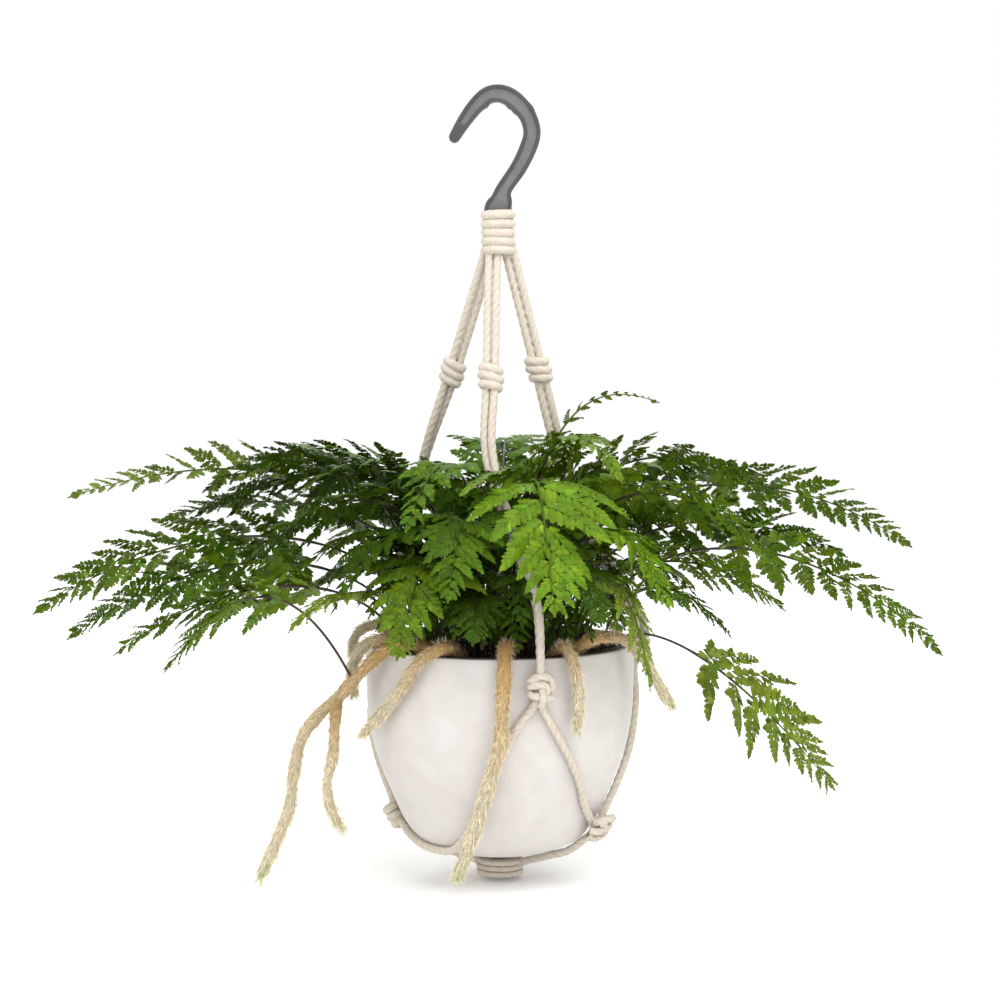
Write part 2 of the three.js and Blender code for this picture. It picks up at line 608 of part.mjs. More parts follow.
// The blade as a flat pattern: corners are [distance along, distance aside, thickness].
function frondPattern(frond, length) {
  const corners = [];
  const faces = [];
  const corner = (d, t, thick) => corners.push([d, t, thick]) - 1;
  const bladeStart = frond.start * length;
  const bladeLength = length - bladeStart;
  const ribs = [];
  const station = (d) => {
    const share = Math.max(0, (d - bladeStart) / bladeLength);
    const half = STALK_HALF * (1 - 0.45 * share);
    const thick = lerp(STALK_THICK, BLADE_THICK, Math.min(1, share * 1.4));
    ribs.push([corner(d, -half, thick), corner(d, half, thick)]);
    return ribs[ribs.length - 1];
  };
  station(-frond.deep);
  for (let i = 0; i < STALK_STEPS; i++) station((bladeStart * i) / STALK_STEPS);
  const leaflets = [];
  const step = 0.87;
  let total = 0;
  for (let i = 0; i < frond.pairs; i++) total += step ** i;
  let d = bladeStart;
  for (let i = 0; i < frond.pairs; i++) {
    const pitch = (bladeLength * 0.93 * step ** i) / total;
    const share = (d - bladeStart) / bladeLength;
    const reach = frond.width * (1 - share) ** 0.85;
    leaflets.push({ from: station(d), d, pitch, reach, share });
    d += pitch;
  }
  station(d);
  leaflets.forEach((leaflet, i) => { leaflet.to = ribs[ribs.length - leaflets.length + i]; });
  for (let i = 0; i + 1 < ribs.length; i++) {
    const [a, b] = ribs[i];
    const [c, e] = ribs[i + 1];
    faces.push([a, e, c], [a, b, e]);
  }
  const tip = corner(length, 0, BLADE_THICK);
  faces.push([ribs[ribs.length - 1][0], ribs[ribs.length - 1][1], tip]);
  for (const leaflet of leaflets) {
    for (const side of [-1, 1]) addLeaflet(leaflet, side, corner, faces);
  }
  return { corners, faces };
}

// A leaflet is a narrow kite that leans towards the tip of the frond.
function addLeaflet({ from, to, d, pitch, reach, share }, side, corner, faces) {
  const lean = radians(lerp(64, 40, share));
  const root = d + pitch * 0.5;
  const at = (out, across) => corner(
    root + reach * out * Math.cos(lean) + across * Math.sin(lean),
    side * (STALK_HALF + reach * out * Math.sin(lean) - across * Math.cos(lean)),
    BLADE_THICK);
  const k = side > 0 ? 1 : 0;
  const half = pitch * 0.45 * Math.sin(lean);
  const chain = [from[k], at(0.4, -half * 0.85), at(1, 0), at(0.45, half * 0.85), to[k]];
  for (const [a, b, c] of [[0, 1, 4], [1, 3, 4], [1, 2, 3]]) {
    if (side > 0) faces.push([chain[a], chain[b], chain[c]]);
    else faces.push([chain[a], chain[c], chain[b]]);
  }
}

// The flat pattern bent along the stalk: aside of the rib the blade rises a little and then droops.
function frondGeometry(frond) {
  const rachis = new Rachis(frond);
  const { corners, faces } = frondPattern(frond, rachis.length);
  const bladeStart = frond.start * rachis.length;
  const points = [];
  for (const top of [1, -1]) {
    for (const [d, t, thick] of corners) {
      const { place, side, normal } = rachis.frame(d);
      const aside = Math.abs(t) / frond.width;
      const lift = d < bladeStart - 1 ? 0 : frond.width * (frond.fold * aside - frond.droop * aside ** 2);
      points.push(place.clone()
        .addScaledVector(side, t)
        .addScaledVector(normal, lift + top * thick / 2));
    }
  }
  const n = corners.length;
  const index = [];
  const edges = new Map();
  for (const [a, b, c] of faces) {
    index.push(a, c, b, a + n, b + n, c + n);
    for (const [p, q] of [[a, b], [b, c], [c, a]]) {
      if (!edges.delete(`${q} ${p}`)) edges.set(`${p} ${q}`, [p, q]);
    }
  }
  for (const [p, q] of edges.values()) index.push(p, q, q + n, p, q + n, p + n);
  const geometry = new THREE.BufferGeometry().setFromPoints(points);
  geometry.setIndex(index);
  return geometry;
}

// A square hole that follows the stalk's root down from the surface it stands in.
function rootHole(frond) {
  const { place, along, side, normal } = new Rachis(frond).frame(0);
  const across = 2 * (STALK_HALF + CLEARANCE);
  const above = 5;
  const depth = frond.deep + CLEARANCE;
  const hole = new THREE.BoxGeometry(across, across, depth + above).translate(0, 0, (above - depth) / 2);
  return toSolid(hole.applyMatrix4(new THREE.Matrix4().makeBasis(side, normal, along).setPosition(place)));
}

// The whole object

const object = new THREE.Group();
const hung = new THREE.Group();
hung.position.z = -RIM_DROP;
object.add(hung);

function place(parent, name, geometry, surface) {
  const mesh = new THREE.Mesh(geometry, surface);
  mesh.name = name;
  parent.add(mesh);
}

const fronds = Object.entries(FRONDS).map(([name, own]) => [name, { ...FROND_DEFAULTS, ...own }]);
const rooted = (name) => fronds.filter(([, f]) => (f.on ?? 'soil') === name).map(([, f]) => rootHole(f));

place(object, 'hook', hookGeometry(), HOOK_PLASTIC);

place(hung, 'pot', potGeometry(), CERAMIC);
place(hung, 'nursery_pot', linerGeometry(), LINER_PLASTIC);
const rhizomeHoles = Object.values(RHIZOMES).map(rhizomeHole);
place(hung, 'potting_soil', toGeometry(soilSolid([...rhizomeHoles, ...rooted('soil')])), SOIL);

const shank = toSolid(plate(hookShape(-CLEARANCE), HOOK_THICKNESS + 2 * CLEARANCE, 0)
  .translate(0, 0, RIM_DROP));
const wrap = toSolid(stackedTurns(WRAP_RADIUS, WRAP_TOP, WRAP_TURNS)).subtract(shank);
place(hung, 'hanger_wrap', toGeometry(wrap), COTTON);
for (const [name, leg] of Object.entries(LEGS)) {
  place(hung, `hanger_leg_${name}`, legGeometry(leg), COTTON);
  place(hung, `hanger_net_${name}`, netGeometry(name), COTTON);
}
for (const [name, knot] of Object.entries(LOW_KNOTS)) {
  place(hung, `hanger_low_knot_${name}`, lowKnotGeometry(knot), COTTON);
}
place(hung, 'hanger_ring', stackedTurns(RING_RADIUS, RING_TOP, RING_TURNS), COTTON);

for (const [name, rhizome] of Object.entries(RHIZOMES)) {
  const stems = [rhizomeLoft(rhizome.route, rhizome.radius, rhizome.steps)];
  if (rhizome.branch) stems.push(rhizomeLoft(rhizome.branch, rhizome.radius * 0.8, 10));
  const solid = rooted(`rhizome_${name}`).reduce((stem, hole) => stem.subtract(hole), joined(stems));
  place(hung, `rhizome_${name}`, toGeometry(solid), FUR);
}

for (const [name, frond] of fronds.filter(([, f]) => !f.beside)) {
  const inner = fronds.filter(([, f]) => f.beside === name).map(([, f]) => f);
  const geometry = inner.length
    ? toGeometry(joined([frond, ...inner].map(frondGeometry))) : frondGeometry(frond);
  place(hung, `frond_${name}`, geometry, LEAF[frond.tone]);
}

export default object;
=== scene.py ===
"""Potted bear's foot fern in a knotted rope hanger."""

import math

import bpy
import numpy as np
from bpy.props import FloatProperty, FloatVectorProperty, IntProperty, PointerProperty
from mathutils import Matrix, Vector, noise


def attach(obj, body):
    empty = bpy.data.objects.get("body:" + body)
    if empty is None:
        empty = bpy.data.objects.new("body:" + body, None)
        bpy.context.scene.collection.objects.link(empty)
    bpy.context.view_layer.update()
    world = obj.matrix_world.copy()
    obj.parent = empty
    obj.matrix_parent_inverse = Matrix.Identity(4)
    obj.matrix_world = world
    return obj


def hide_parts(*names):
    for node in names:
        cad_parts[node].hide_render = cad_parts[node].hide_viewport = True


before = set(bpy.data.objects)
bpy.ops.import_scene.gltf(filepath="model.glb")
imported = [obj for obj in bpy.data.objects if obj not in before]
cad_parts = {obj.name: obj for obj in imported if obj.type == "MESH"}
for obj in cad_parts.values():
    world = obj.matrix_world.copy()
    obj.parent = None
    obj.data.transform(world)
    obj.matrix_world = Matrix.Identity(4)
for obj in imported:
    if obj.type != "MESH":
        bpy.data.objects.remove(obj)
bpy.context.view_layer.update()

bl_info = {
    "name": "Potted bear's foot fern",
    "version": (1, 0, 0),
    "blender": (4, 5, 0),
    "location": "3D View > Sidebar > Fern planter",
    "description": "Models a bear's foot fern with its pot and knotted rope hanger",
    "category": "Object",
}

MM = 0.001
RIM_DROP = 358.0
TAU = 2 * math.pi

# Azimuths go round the pot in degrees: 0 is the front (-Y), 90 the right (+X).
# Lengths below are in millimetres from the rim plane, as the numbered drawings of a pot are.

POT_OUTLINE = [
    (90, 0), (89.8, -22), (88.9, -45), (85.8, -65), (79.8, -84),
    (71.5, -104), (64, -120), (54, -131.5), (40, -138), (30, -140),
]

HOOK_SPINE = [
    (-29.9, -22.6, 7.3), (-23.3, -12.0, 9), (-16.0, -2.5, 10.3), (-8.5, 4.1, 11),
    (-1.0, 5.7, 11.3), (6.3, 3.4, 11.7), (13.2, -2.2, 11.5), (18.7, -10.0, 11),
    (21.1, -19.8, 11.3), (18.7, -29.6, 11.3), (12.3, -42.8, 10.7), (3.0, -56.5, 10.4),
    (0.7, -64.5, 15), (-1.0, -70, 18.6), (-1.0, -78, 18.6),
]
# Lumps on the hook: place, edge from the outer one (0) to the inner one (3), and how far it stands out
HOOK_LUMPS = [(-12.5, 1.2, 3, -0.8), (9.5, 1.2, 3, -0.9), (13.4, -2.6, 3, -0.7), (16.5, -6.5, 0, 0.5)]

LEGS = {
    "left": {"azimuth": -130, "rim": -4, "knot": (-32, 20, 180),
             "route": [(-7, 1, 261), (-32, 20, 180), (-51.5, 34, 122), (-66, 50, 58)]},
    "front": {"azimuth": 15, "rim": -17, "knot": (-6, -26, 177), "pair": 0,
              "route": [(-4, -4, 261), (-6, -26, 177), (-7, -42, 128), (8, -68, 78), (23, -87, 36)]},
    "right": {"azimuth": 104, "rim": -6, "knot": (26, 8, 182),
              "route": [(6, 1, 261), (26, 8, 182), (41, 13, 125), (68, 20, 60)]},
}

# Ropes over the pot, by azimuth and height, from a rim knot to each low knot
DIAGONALS = {
    "front": {
        "right": [(17, -31), (22, -45), (30, -64), (38, -82), (48, -102), (57.5, -112)],
        "left": [(12.5, -31), (6, -45), (0, -66), (-6, -88), (-14, -108), (-30, -128), (-56, -131),
                 (-78, -127.5)],
    },
    "left": {
        "left": [(-126, -17), (-114, -30), (-105, -50), (-100, -75), (-97, -95), (-95, -106)],
        "back": [(-134, -17), (-148, -40), (-166, -68), (-180, -92), (-188, -106)],
    },
    "right": {
        "right": [(101, -19), (96, -40), (90, -70), (84, -94), (76, -109)],
        "back": [(107, -19), (122, -48), (141, -78), (155, -100), (161, -107)],
    },
}
LOW_KNOTS = {"right": (67, -119), "left": (-95, -117), "back": (167, -117)}

RHIZOMES = {
    "left_long": {
        "radius": 4,
        "route": [(-26, -40, -14), (-38, -56, -1), (-57, -68, 7.5), (-73, -63, 3), (-89, -55, -12),
                  (-104, -50, -29), (-117, -48, -41), (-129, -48, -57), (-135, -50, -84),
                  (-137, -50, -101), (-147.5, -50, -128), (-157.3, -50, -150.4)],
        "branch": [(-106, -50, -31), (-107, -58, -48), (-108, -60, -66), (-112, -61, -86),
                   (-108, -62, -105), (-102, -63, -114)],
    },
    "left_short": {
        "radius": 3.6,
        "route": [(-40, -30, -14), (-56, -44, 4), (-73, -52, 9), (-88, -43, 3), (-97, -37, -14),
                  (-96, -35, -32)],
    },
    "front_left": {
        "radius": 3.8,
        "route": [(-20, -54, -14), (-28, -68, 1), (-37, -80, 6.5), (-50, -82, -1), (-63, -74, -21),
                  (-74, -63, -36), (-90, -52, -55)],
    },
    "front": {
        "radius": 4.4,
        "route": [(6, -52, -14), (5, -68, 1), (4, -86, 7.5), (3, -97, 0), (2, -98.5, -20),
                  (1, -99.5, -36), (0, -101, -53), (-5, -97, -70), (-10, -91.5, -90),
                  (-16, -84, -111), (-23, -78, -131), (-28, -76, -145)],
    },
    "front_right": {
        "radius": 3.5,
        "route": [(28, -52, -14), (35, -68, 1), (42, -81, 6.5), (47, -87, -4), (50, -85, -25),
                  (49, -85, -46)],
    },
    "right": {
        "radius": 3.8,
        "route": [(42, -50, -14), (49, -64, 3), (61, -65, 10.5), (75, -58, 10.5), (87, -53, 4),
                  (95, -51, -6), (101, -50, -18), (112, -50, -37)],
    },
    "back_left": {
        "radius": 3.4,
        "route": [(-50, 14, -14), (-68, 20, 2), (-86, 26, 7.5), (-98, 24, 1), (-101, 16, -13)],
    },
    "back": {
        "radius": 3.6,
        "route": [(12, 50, -14), (18, 68, 1), (24, 84, 7.5), (28, 95, 0), (30, 97, -20), (33, 97, -44)],
    },
}

# A frond's defaults, and then each frond: az and reach say where it goes, peak and tip how high,
# width how long its lowest leaflets are, start where the blade begins and roll how it leans.
FROND_DEFAULTS = {
    "az0": None, "z0": None, "pairs": 6, "shoulder": 0.62, "rise": 0.12,
    "fold": 0.12, "droop": 0.16, "tone": "deep", "beside": None,
}
FROND_COLUMNS = ("az", "r0", "reach", "peak", "tip", "width", "start", "roll", "tone")
FRONDS = {
    "left_high": (-101, 20, 306, 108, 92, 42, 0.5, 34, "light", {"fold": 0.3}),
    "left_long": (-91, 42, 315, 70, 17, 66, 0.45, 42, "mid", {"pairs": 6}),
    "left_low": (-79, 56, 286, 56, 8, 60, 0.42, 42, "deep"),
    "left_droop": (-68, 66, 262, 43, 4, 52, 0.42, 36, "mid"),
    "left_outer": (-66, 110, 232, 38, -8, 46, 0.5, 30, "mid", {"az0": -61.3, "z0": -17, "rise": 0.3}),
    "left_back": (-113, 34, 262, 84, 74, 50, 0.45, 24, "dark", {"pairs": 5}),
    "left_crown": (-114, 12, 205, 112, 104, 56, 0.5, 26, "deep", {"pairs": 5}),
    "left_crest": (-77, 14, 205, 110, 86, 58, 0.48, 28, "dark"),
    "left_front": (-57, 28, 208, 98, 41, 58, 0.45, 30, "dark"),
    "left_under": (-50, 74, 172, 40, 20, 32, 0.5, 10, "light", {"az0": -62, "pairs": 5}),
    "front_left": (-28, 58, 136, 62, 4, 52, 0.42, -6, "mid", {"more": 3, "leaflet": 0.84, "gap": 0.42}),
    "front_leaning": (-42, 36, 150, 78, 44, 54, 0.45, 6, "dark", {"more": 3, "leaflet": 0.84}),
    "front_centre": (-13, 46, 142, 88, 42, 50, 0.5, 0, "deep", {"more": 3, "leaflet": 0.84, "gap": 0.42}),
    "front_broad": (13, 28, 148, 112, 34, 82, 0.44, 0, "bright", {"az0": 38, "pairs": 7, "more": 2, "leaflet": 0.86, "gap": 0.42}),
    "front_low": (-8, 62, 122, 38, 14, 34, 0.45, 0, "dark", {"az0": -16, "pairs": 5}),
    "front_right": (43, 47, 155, 81, 34, 56, 0.42, -8, "bright", {"az0": 46, "more": 3, "leaflet": 0.84, "gap": 0.42}),
    "front_hanging": (46, 60, 132, 50, -20, 44, 0.4, -22, "light",
                      {"shoulder": 0.8, "more": 3, "leaflet": 0.9}),
    "front_inner": (27, 56, 138, 58, 26, 46, 0.46, 0, "dark", {"az0": 36}),
    "centre_left": (-24, 20, 142, 120, 84, 49, 0.48, 4, "deep", {"more": 3, "leaflet": 0.84, "gap": 0.42}),
    "centre_right": (40, 12, 120, 134, 112, 41, 0.5, 0, "mid", {"az0": 50}),
    "right_low": (80, 74, 224, 2, -94, 60, 0.42, -50, "light", 
                  {"rise": 0.02, "shoulder": 0.4, "pairs": 6, "more": 3, "gap": 0.46, "leaflet": 1.05}),
    "right_thin": (69, 70, 160, 40, 10, 30, 0.5, -30, "deep", {"pairs": 5}),
    "right_under": (75, 50, 192, 56, 26, 48, 0.45, -34, "mid"),
    "right_middle": (64, 26, 205, 102, 48, 56, 0.45, -36, "mid"),
    "right_level": (88, 36, 232, 78, 57, 54, 0.45, -38, "deep"),
    "right_long": (92, 54, 300, 62, -12, 50, 0.48, -38, "mid", {"pairs": 6}),
    "right_reach": (100, 30, 290, 102, 58, 52, 0.5, -36, "mid"),
    "right_crown": (113, 16, 215, 104, 94, 56, 0.46, -26, "deep"),
    "right_crest": (77, 12, 190, 120, 94, 54, 0.48, -30, "mid"),
    "sprig": (86, 8, 106, 150, 160, 16, 0.55, -30, "light", {"more": 6, "leaflet": 0.95}),
    "back_right": (132, 42, 250, 84, 40, 58, 0.45, 0, "deep", {"pairs": 5}),
    "back_right_high": (150, 20, 205, 98, 84, 56, 0.46, 0, "mid", {"pairs": 5}),
    "back_middle": (168, 46, 240, 74, 20, 60, 0.45, 0, "dark", {"pairs": 5}),
    "back_crest": (178, 12, 200, 126, 90, 58, 0.48, 0, "deep", {"pairs": 5}),
    "back_left": (-148, 42, 246, 80, 34, 58, 0.45, 0, "deep", {"pairs": 5}),
    "back_left_high": (-154, 20, 205, 102, 84, 56, 0.46, 0, "mid", {"pairs": 5}),
    "back_low": (152, 68, 190, 34, -20, 46, 0.42, 0, "mid", {"pairs": 5}),
    "inner_back": (195, 46, 140, 52, 22, 44, 0.42, 0, "dark",
                   {"az0": 168, "pairs": 4, "beside": "back_middle"}),
    "inner_back_right": (125, 68, 150, 44, 12, 44, 0.42, 0, "mid",
                         {"az0": 152, "pairs": 4, "beside": "back_low"}),
    "inner_back_left": (-106, 34, 156, 46, 16, 42, 0.42, 0, "dark",
                        {"az0": -113, "pairs": 4, "beside": "left_back"}),
}

# Short young fronds in the heart of the plant: the frond they stand beside, and their own row as above
YOUNG_FRONDS = [
    ("front_leaning", (-62, 44, 128, 66, 40, 38, 0.34, 14, "dark")),
    ("front_leaning", (-34, 30, 104, 88, 62, 34, 0.34, 8, "deep")),
    ("centre_left", (-8, 26, 100, 104, 76, 36, 0.36, 0, "deep")),
    ("centre_left", (-48, 16, 112, 112, 90, 38, 0.38, 12, "dark")),
    ("front_left", (-44, 62, 120, 48, 26, 34, 0.34, 10, "deep")),
    ("front_low", (-22, 48, 98, 60, 30, 34, 0.34, 0, "deep")),
    ("front_low", (8, 52, 100, 52, 22, 32, 0.34, 0, "dark")),
    ("front_inner", (30, 40, 104, 80, 50, 36, 0.34, -6, "deep")),
    ("front_inner", (52, 44, 112, 66, 36, 34, 0.34, -12, "mid")),
    ("centre_right", (22, 18, 96, 108, 84, 34, 0.36, 0, "mid")),
    ("centre_right", (62, 20, 118, 112, 86, 38, 0.36, -14, "mid")),
    ("right_middle", (74, 38, 138, 84, 50, 38, 0.36, -26, "deep")),
    ("right_under", (92, 56, 132, 50, 30, 32, 0.36, -24, "dark")),
    ("left_front", (-84, 34, 136, 90, 60, 40, 0.36, 26, "dark")),
    ("left_under", (-78, 58, 128, 54, 34, 34, 0.36, 22, "deep")),
    ("left_crest", (-96, 20, 126, 112, 90, 38, 0.38, 22, "deep")),
    ("front_left", (-20, 40, 86, 40, 12, 30, 0.2, 0, "deep")),
    ("front_left", (-62, 40, 92, 38, 12, 30, 0.2, 6, "dark")),
    ("front_low", (-36, 24, 74, 44, 20, 30, 0.2, 0, "dark")),
    ("front_inner", (22, 30, 80, 46, 16, 30, 0.2, 0, "dark")),
    ("front_inner", (44, 34, 88, 44, 18, 30, 0.2, -6, "deep")),
    ("front_hanging", (62, 34, 92, 48, 20, 32, 0.3, -8, "dark")),
    ("right_thin", (84, 30, 92, 56, 26, 32, 0.32, -14, "deep")),
    ("left_droop", (-92, 34, 96, 50, 22, 32, 0.32, 14, "dark")),
    ("front_left", (-8, 30, 82, 34, 6, 32, 0.18, 0, "dark")),
    ("front_leaning", (-48, 20, 84, 36, 8, 34, 0.18, 0, "deep")),
    ("front_inner", (8, 40, 84, 30, 4, 30, 0.18, 0, "deep")),
    ("front_inner", (34, 20, 84, 32, 6, 34, 0.18, 0, "dark")),
    ("front_hanging", (58, 56, 96, 34, 14, 28, 0.2, 0, "deep")),
    ("left_crown", (-104, 30, 172, 118, 102, 44, 0.4, 22, "deep")),
    ("left_crest", (-62, 24, 156, 118, 94, 44, 0.4, 16, "deep")),
    ("left_front", (-70, 40, 150, 72, 40, 42, 0.38, 16, "mid")),
    ("left_crown", (-97, 48, 204, 116, 98, 44, 0.42, 26, "deep")),
    ("left_crest", (-86, 44, 182, 108, 84, 42, 0.4, 26, "dark")),
    ("left_front", (-58, 52, 128, 58, 26, 34, 0.3, 12, "deep")),
    ("front_left", (-34, 66, 100, 30, 8, 26, 0.2, 0, "dark")),
    ("front_inner", (36, 62, 100, 32, 10, 26, 0.2, 0, "dark")),
    ("back_low", (150, 30, 88, 46, 18, 32, 0.32, 0, "deep")),
    ("back_left", (-160, 30, 88, 46, 18, 32, 0.32, 0, "dark")),
    ("back_crest", (165, 14, 110, 110, 84, 38, 0.38, 0, "deep")),
    ("back_middle", (-176, 50, 118, 58, 34, 34, 0.36, 0, "dark")),
    ("back_left", (-135, 46, 124, 66, 40, 36, 0.36, 0, "deep")),
    ("back_right", (116, 44, 126, 70, 44, 36, 0.36, -10, "dark")),
]


# Sizes and colours

class PlanterSizes(bpy.types.PropertyGroup):
    """Sizes of the pot and the hanger."""

    pot_wall: FloatProperty(
        name="Pot wall", description="Thickness of the pot's wall", default=0.004, unit="LENGTH")
    pot_steps: IntProperty(
        name="Pot steps", description="Flats round the turned pot", default=112, min=24)
    rope_radius: FloatProperty(
        name="Rope radius", description="Outside radius of the laid rope", default=0.00275, unit="LENGTH")
    rope_lay: FloatProperty(
        name="Rope lay", description="Length of rope in which a strand goes once round",
        default=0.019, unit="LENGTH")
    hook_thickness: FloatProperty(
        name="Hook thickness", description="Thickness of the moulded hook", default=0.008, unit="LENGTH")
    hook_rim: FloatProperty(
        name="Hook rim", description="Width of the raised rim round the hook's web",
        default=0.0023, unit="LENGTH")
    hook_recess: FloatProperty(
        name="Hook recess", description="Depth of the web below the raised rim",
        default=0.0019, unit="LENGTH")


class PlantSizes(bpy.types.PropertyGroup):
    """Sizes of the plant's small parts."""

    blade_rise: FloatProperty(
        name="Leaflet crown", description="How far a leaflet's middle stands up, over its length",
        default=0.05)
    hair_length: FloatProperty(
        name="Scale length", description="Length of the hair-like scales on the rhizomes",
        default=0.0052, unit="LENGTH")
    hairs_per_mm: FloatProperty(
        name="Scales per millimetre", description="Hair-like scales for each millimetre of rhizome",
        default=8.8)
    lower_leaflets: FloatProperty(
        name="Lower leaflets", description="How much further down its stalk a blade reaches, over the stalk",
        default=0.08)
    long_hairs: FloatProperty(
        name="Long hairs", description="Long pale hairs for each scale", default=0.6)
    extra_pairs: IntProperty(
        name="Extra pairs", description="Pairs of leaflets beyond those of the plain frond", default=7)
    soil_chips: IntProperty(
        name="Bark chips", description="Chips of bark that lie on the soil", default=420)


def colour_property(name, description, red, green, blue):
    return FloatVectorProperty(
        name=name, description=description, subtype="COLOR", size=3, min=0, max=1,
        default=(red, green, blue))


class PlanterColours(bpy.types.PropertyGroup):
    """Colours of the pot, hook, rope and plant."""

    pot: colour_property("Pot", "Main colour of the ceramic", 0.64, 0.612, 0.585)
    pot_mottle: colour_property("Pot mottle", "Darker cloudy patches of the ceramic", 0.60, 0.568, 0.537)
    liner: colour_property("Nursery pot", "Black plastic of the nursery pot", 0.008, 0.008, 0.009)
    hook: colour_property("Hook", "Grey plastic of the hook", 0.147, 0.149, 0.152)
    # Painted shade for the hook's raised rims and the walls of its recess.
    hook_rim_shade: colour_property("Hook rim", "Darker raised rims of the hook", 0.058, 0.059, 0.061)
    cotton: colour_property("Rope", "Light side of the cotton", 0.62, 0.555, 0.475)
    # Painted shade of the rope: its grooves, the filler inside the wrap and half of each knot's core take this colour.
    cotton_shade: colour_property("Rope shade", "Soiled and shaded fibres", 0.50, 0.415, 0.32)
    soil: colour_property("Soil", "Damp dark soil", 0.018, 0.011, 0.007)
    bark: colour_property("Bark", "Lighter bark chips", 0.16, 0.07, 0.03)
    fur_root: colour_property("Fur at the root", "Scales where a rhizome leaves the soil",
                              0.46, 0.23, 0.065)
    fur_middle: colour_property("Fur", "Golden scales along a rhizome", 0.66, 0.43, 0.17)
    fur_tip: colour_property("Fur at the tip", "Cream scales towards the tip", 0.79, 0.70, 0.50)
    fur_hair: colour_property("Long hair", "Long pale hairs between the scales", 0.82, 0.74, 0.60)
    fur_growing: colour_property("Growing tip", "Green growing tip", 0.56, 0.65, 0.34)
    stalk: colour_property("Stalk", "Dark wiry stalk", 0.026, 0.015, 0.008)
    leaf_dark: colour_property("Dark leaf", "Oldest fronds", 0.036, 0.074, 0.003)
    leaf_deep: colour_property("Deep leaf", "Older fronds", 0.057, 0.116, 0.004)
    leaf_mid: colour_property("Middle leaf", "Grown fronds", 0.092, 0.160, 0.006)
    leaf_light: colour_property("Light leaf", "Young yellowish fronds", 0.165, 0.232, 0.024)
    leaf_bright: colour_property("Bright leaf", "Young fronds in full light", 0.104, 0.194, 0.007)


# Operators act on everything selected, so each job starts with nothing selected

def deselect():
    if bpy.context.object and bpy.context.object.mode != "OBJECT":
        bpy.ops.object.mode_set(mode="OBJECT")
    bpy.ops.object.select_all(action="DESELECT")


def take(piece):
    deselect()
    piece.select_set(True)
    bpy.context.view_layer.objects.active = piece


def edit(piece, pick="SELECT"):
    take(piece)
    bpy.ops.object.mode_set(mode="EDIT")
    bpy.ops.mesh.select_all(action=pick)


def pick_faces(piece, wanted):
    """Selects the faces that pass a test, and stays in edit mode."""
    edit(piece, "DESELECT")
    bpy.ops.mesh.select_mode(type="FACE")
    bpy.ops.object.mode_set(mode="OBJECT")
    for polygon in piece.data.polygons:
        polygon.select = wanted(polygon)
    bpy.ops.object.mode_set(mode="EDIT")


def leave_edit():
    bpy.ops.mesh.select_mode(type="VERT")
    bpy.ops.object.mode_set(mode="OBJECT")


def apply(modifier):
    bpy.ops.object.modifier_apply(modifier=modifier.name)


def join(name, parts):
    take(parts[0])
    for part in parts:
        part.select_set(True)
    if len(parts) > 1:
        bpy.ops.object.join()
    whole = bpy.context.object
    whole.name = name
    return whole


def tidy_skin(piece, distance=1e-6):
    """Merges doubled points and turns every face outwards."""
    edit(piece)
    bpy.ops.mesh.remove_doubles(threshold=distance)
    bpy.ops.mesh.normals_make_consistent(inside=False)
    bpy.ops.object.mode_set(mode="OBJECT")


def smooth(piece, degrees=40):
    take(piece)
    bpy.ops.object.shade_smooth_by_angle(angle=math.radians(degrees))


def hand_over(piece, finish, slot, *nodes):
    """Settles a piece in the frame: origin at zero, material, body and node. The slot is not used."""
    take(piece)
    bpy.ops.object.transform_apply(location=True, rotation=True, scale=True)
    if finish is not None:
        piece.data.materials.clear()
        piece.data.materials.append(finish)
    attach(piece, "root")
    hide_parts(*nodes)


def mesh_piece(name, points, triangles, colours=None, parts=None, smooth_angle=None):
    """A mesh from arrays of points in metres and triangles, with a colour for each point."""
    mesh = bpy.data.meshes.new(name)
    mesh.vertices.add(len(points))
    mesh.vertices.foreach_set("co", np.asarray(points, np.float32).ravel())
    mesh.loops.add(3 * len(triangles))
    mesh.loops.foreach_set("vertex_index", np.asarray(triangles, np.int32).ravel())
    mesh.polygons.add(len(triangles))
    mesh.polygons.foreach_set("loop_start", np.arange(0, 3 * len(triangles), 3, dtype=np.int32))
    if parts is not None:
        mesh.polygons.foreach_set("material_index", np.asarray(parts, np.int32))
    mesh.update(calc_edges=True)
    mesh.polygons.foreach_set("use_smooth", np.ones(len(triangles), bool))
    if smooth_angle is not None:
        mesh.set_sharp_from_angle(angle=math.radians(smooth_angle))
    if colours is not None:
        layer = mesh.color_attributes.new(name="Tint", type="FLOAT_COLOR", domain="POINT")
        rgba = np.ones((len(points), 4), np.float32)
        rgba[:, :3] = colours
        layer.data.foreach_set("color", rgba.ravel())
    piece = bpy.data.objects.new(name, mesh)
    bpy.context.scene.collection.objects.link(piece)
    return piece


def mesh_arrays(piece):
    """Points and triangles of a small modelled piece, which is then removed."""
    take(piece)
    bpy.ops.object.mode_set(mode="EDIT")
    bpy.ops.mesh.select_all(action="SELECT")
    bpy.ops.mesh.quads_convert_to_tris()
    bpy.ops.object.mode_set(mode="OBJECT")
    points = np.array([v.co[:] for v in piece.data.vertices])
    triangles = np.array([p.vertices[:] for p in piece.data.polygons])
    bpy.data.objects.remove(piece, do_unlink=True)
    return points, triangles


# Curves

def spline(points, samples):
    """A smooth curve through points, evenly spaced in its knots."""
    p = [np.array(q, float) for q in points]
    out = []
    for i in range(samples + 1):
        at = i / samples * (len(p) - 1)
        k = min(int(at), len(p) - 2)
        w = at - k
        a, b, c, d = p[max(k - 1, 0)], p[k], p[k + 1], p[min(k + 2, len(p) - 1)]
        v0, v1 = (c - a) / 2, (d - b) / 2
        out.append((2 * b - 2 * c + v0 + v1) * w ** 3 + (-3 * b + 3 * c - 2 * v0 - v1) * w ** 2 + v0 * w + b)
    return np.array(out)


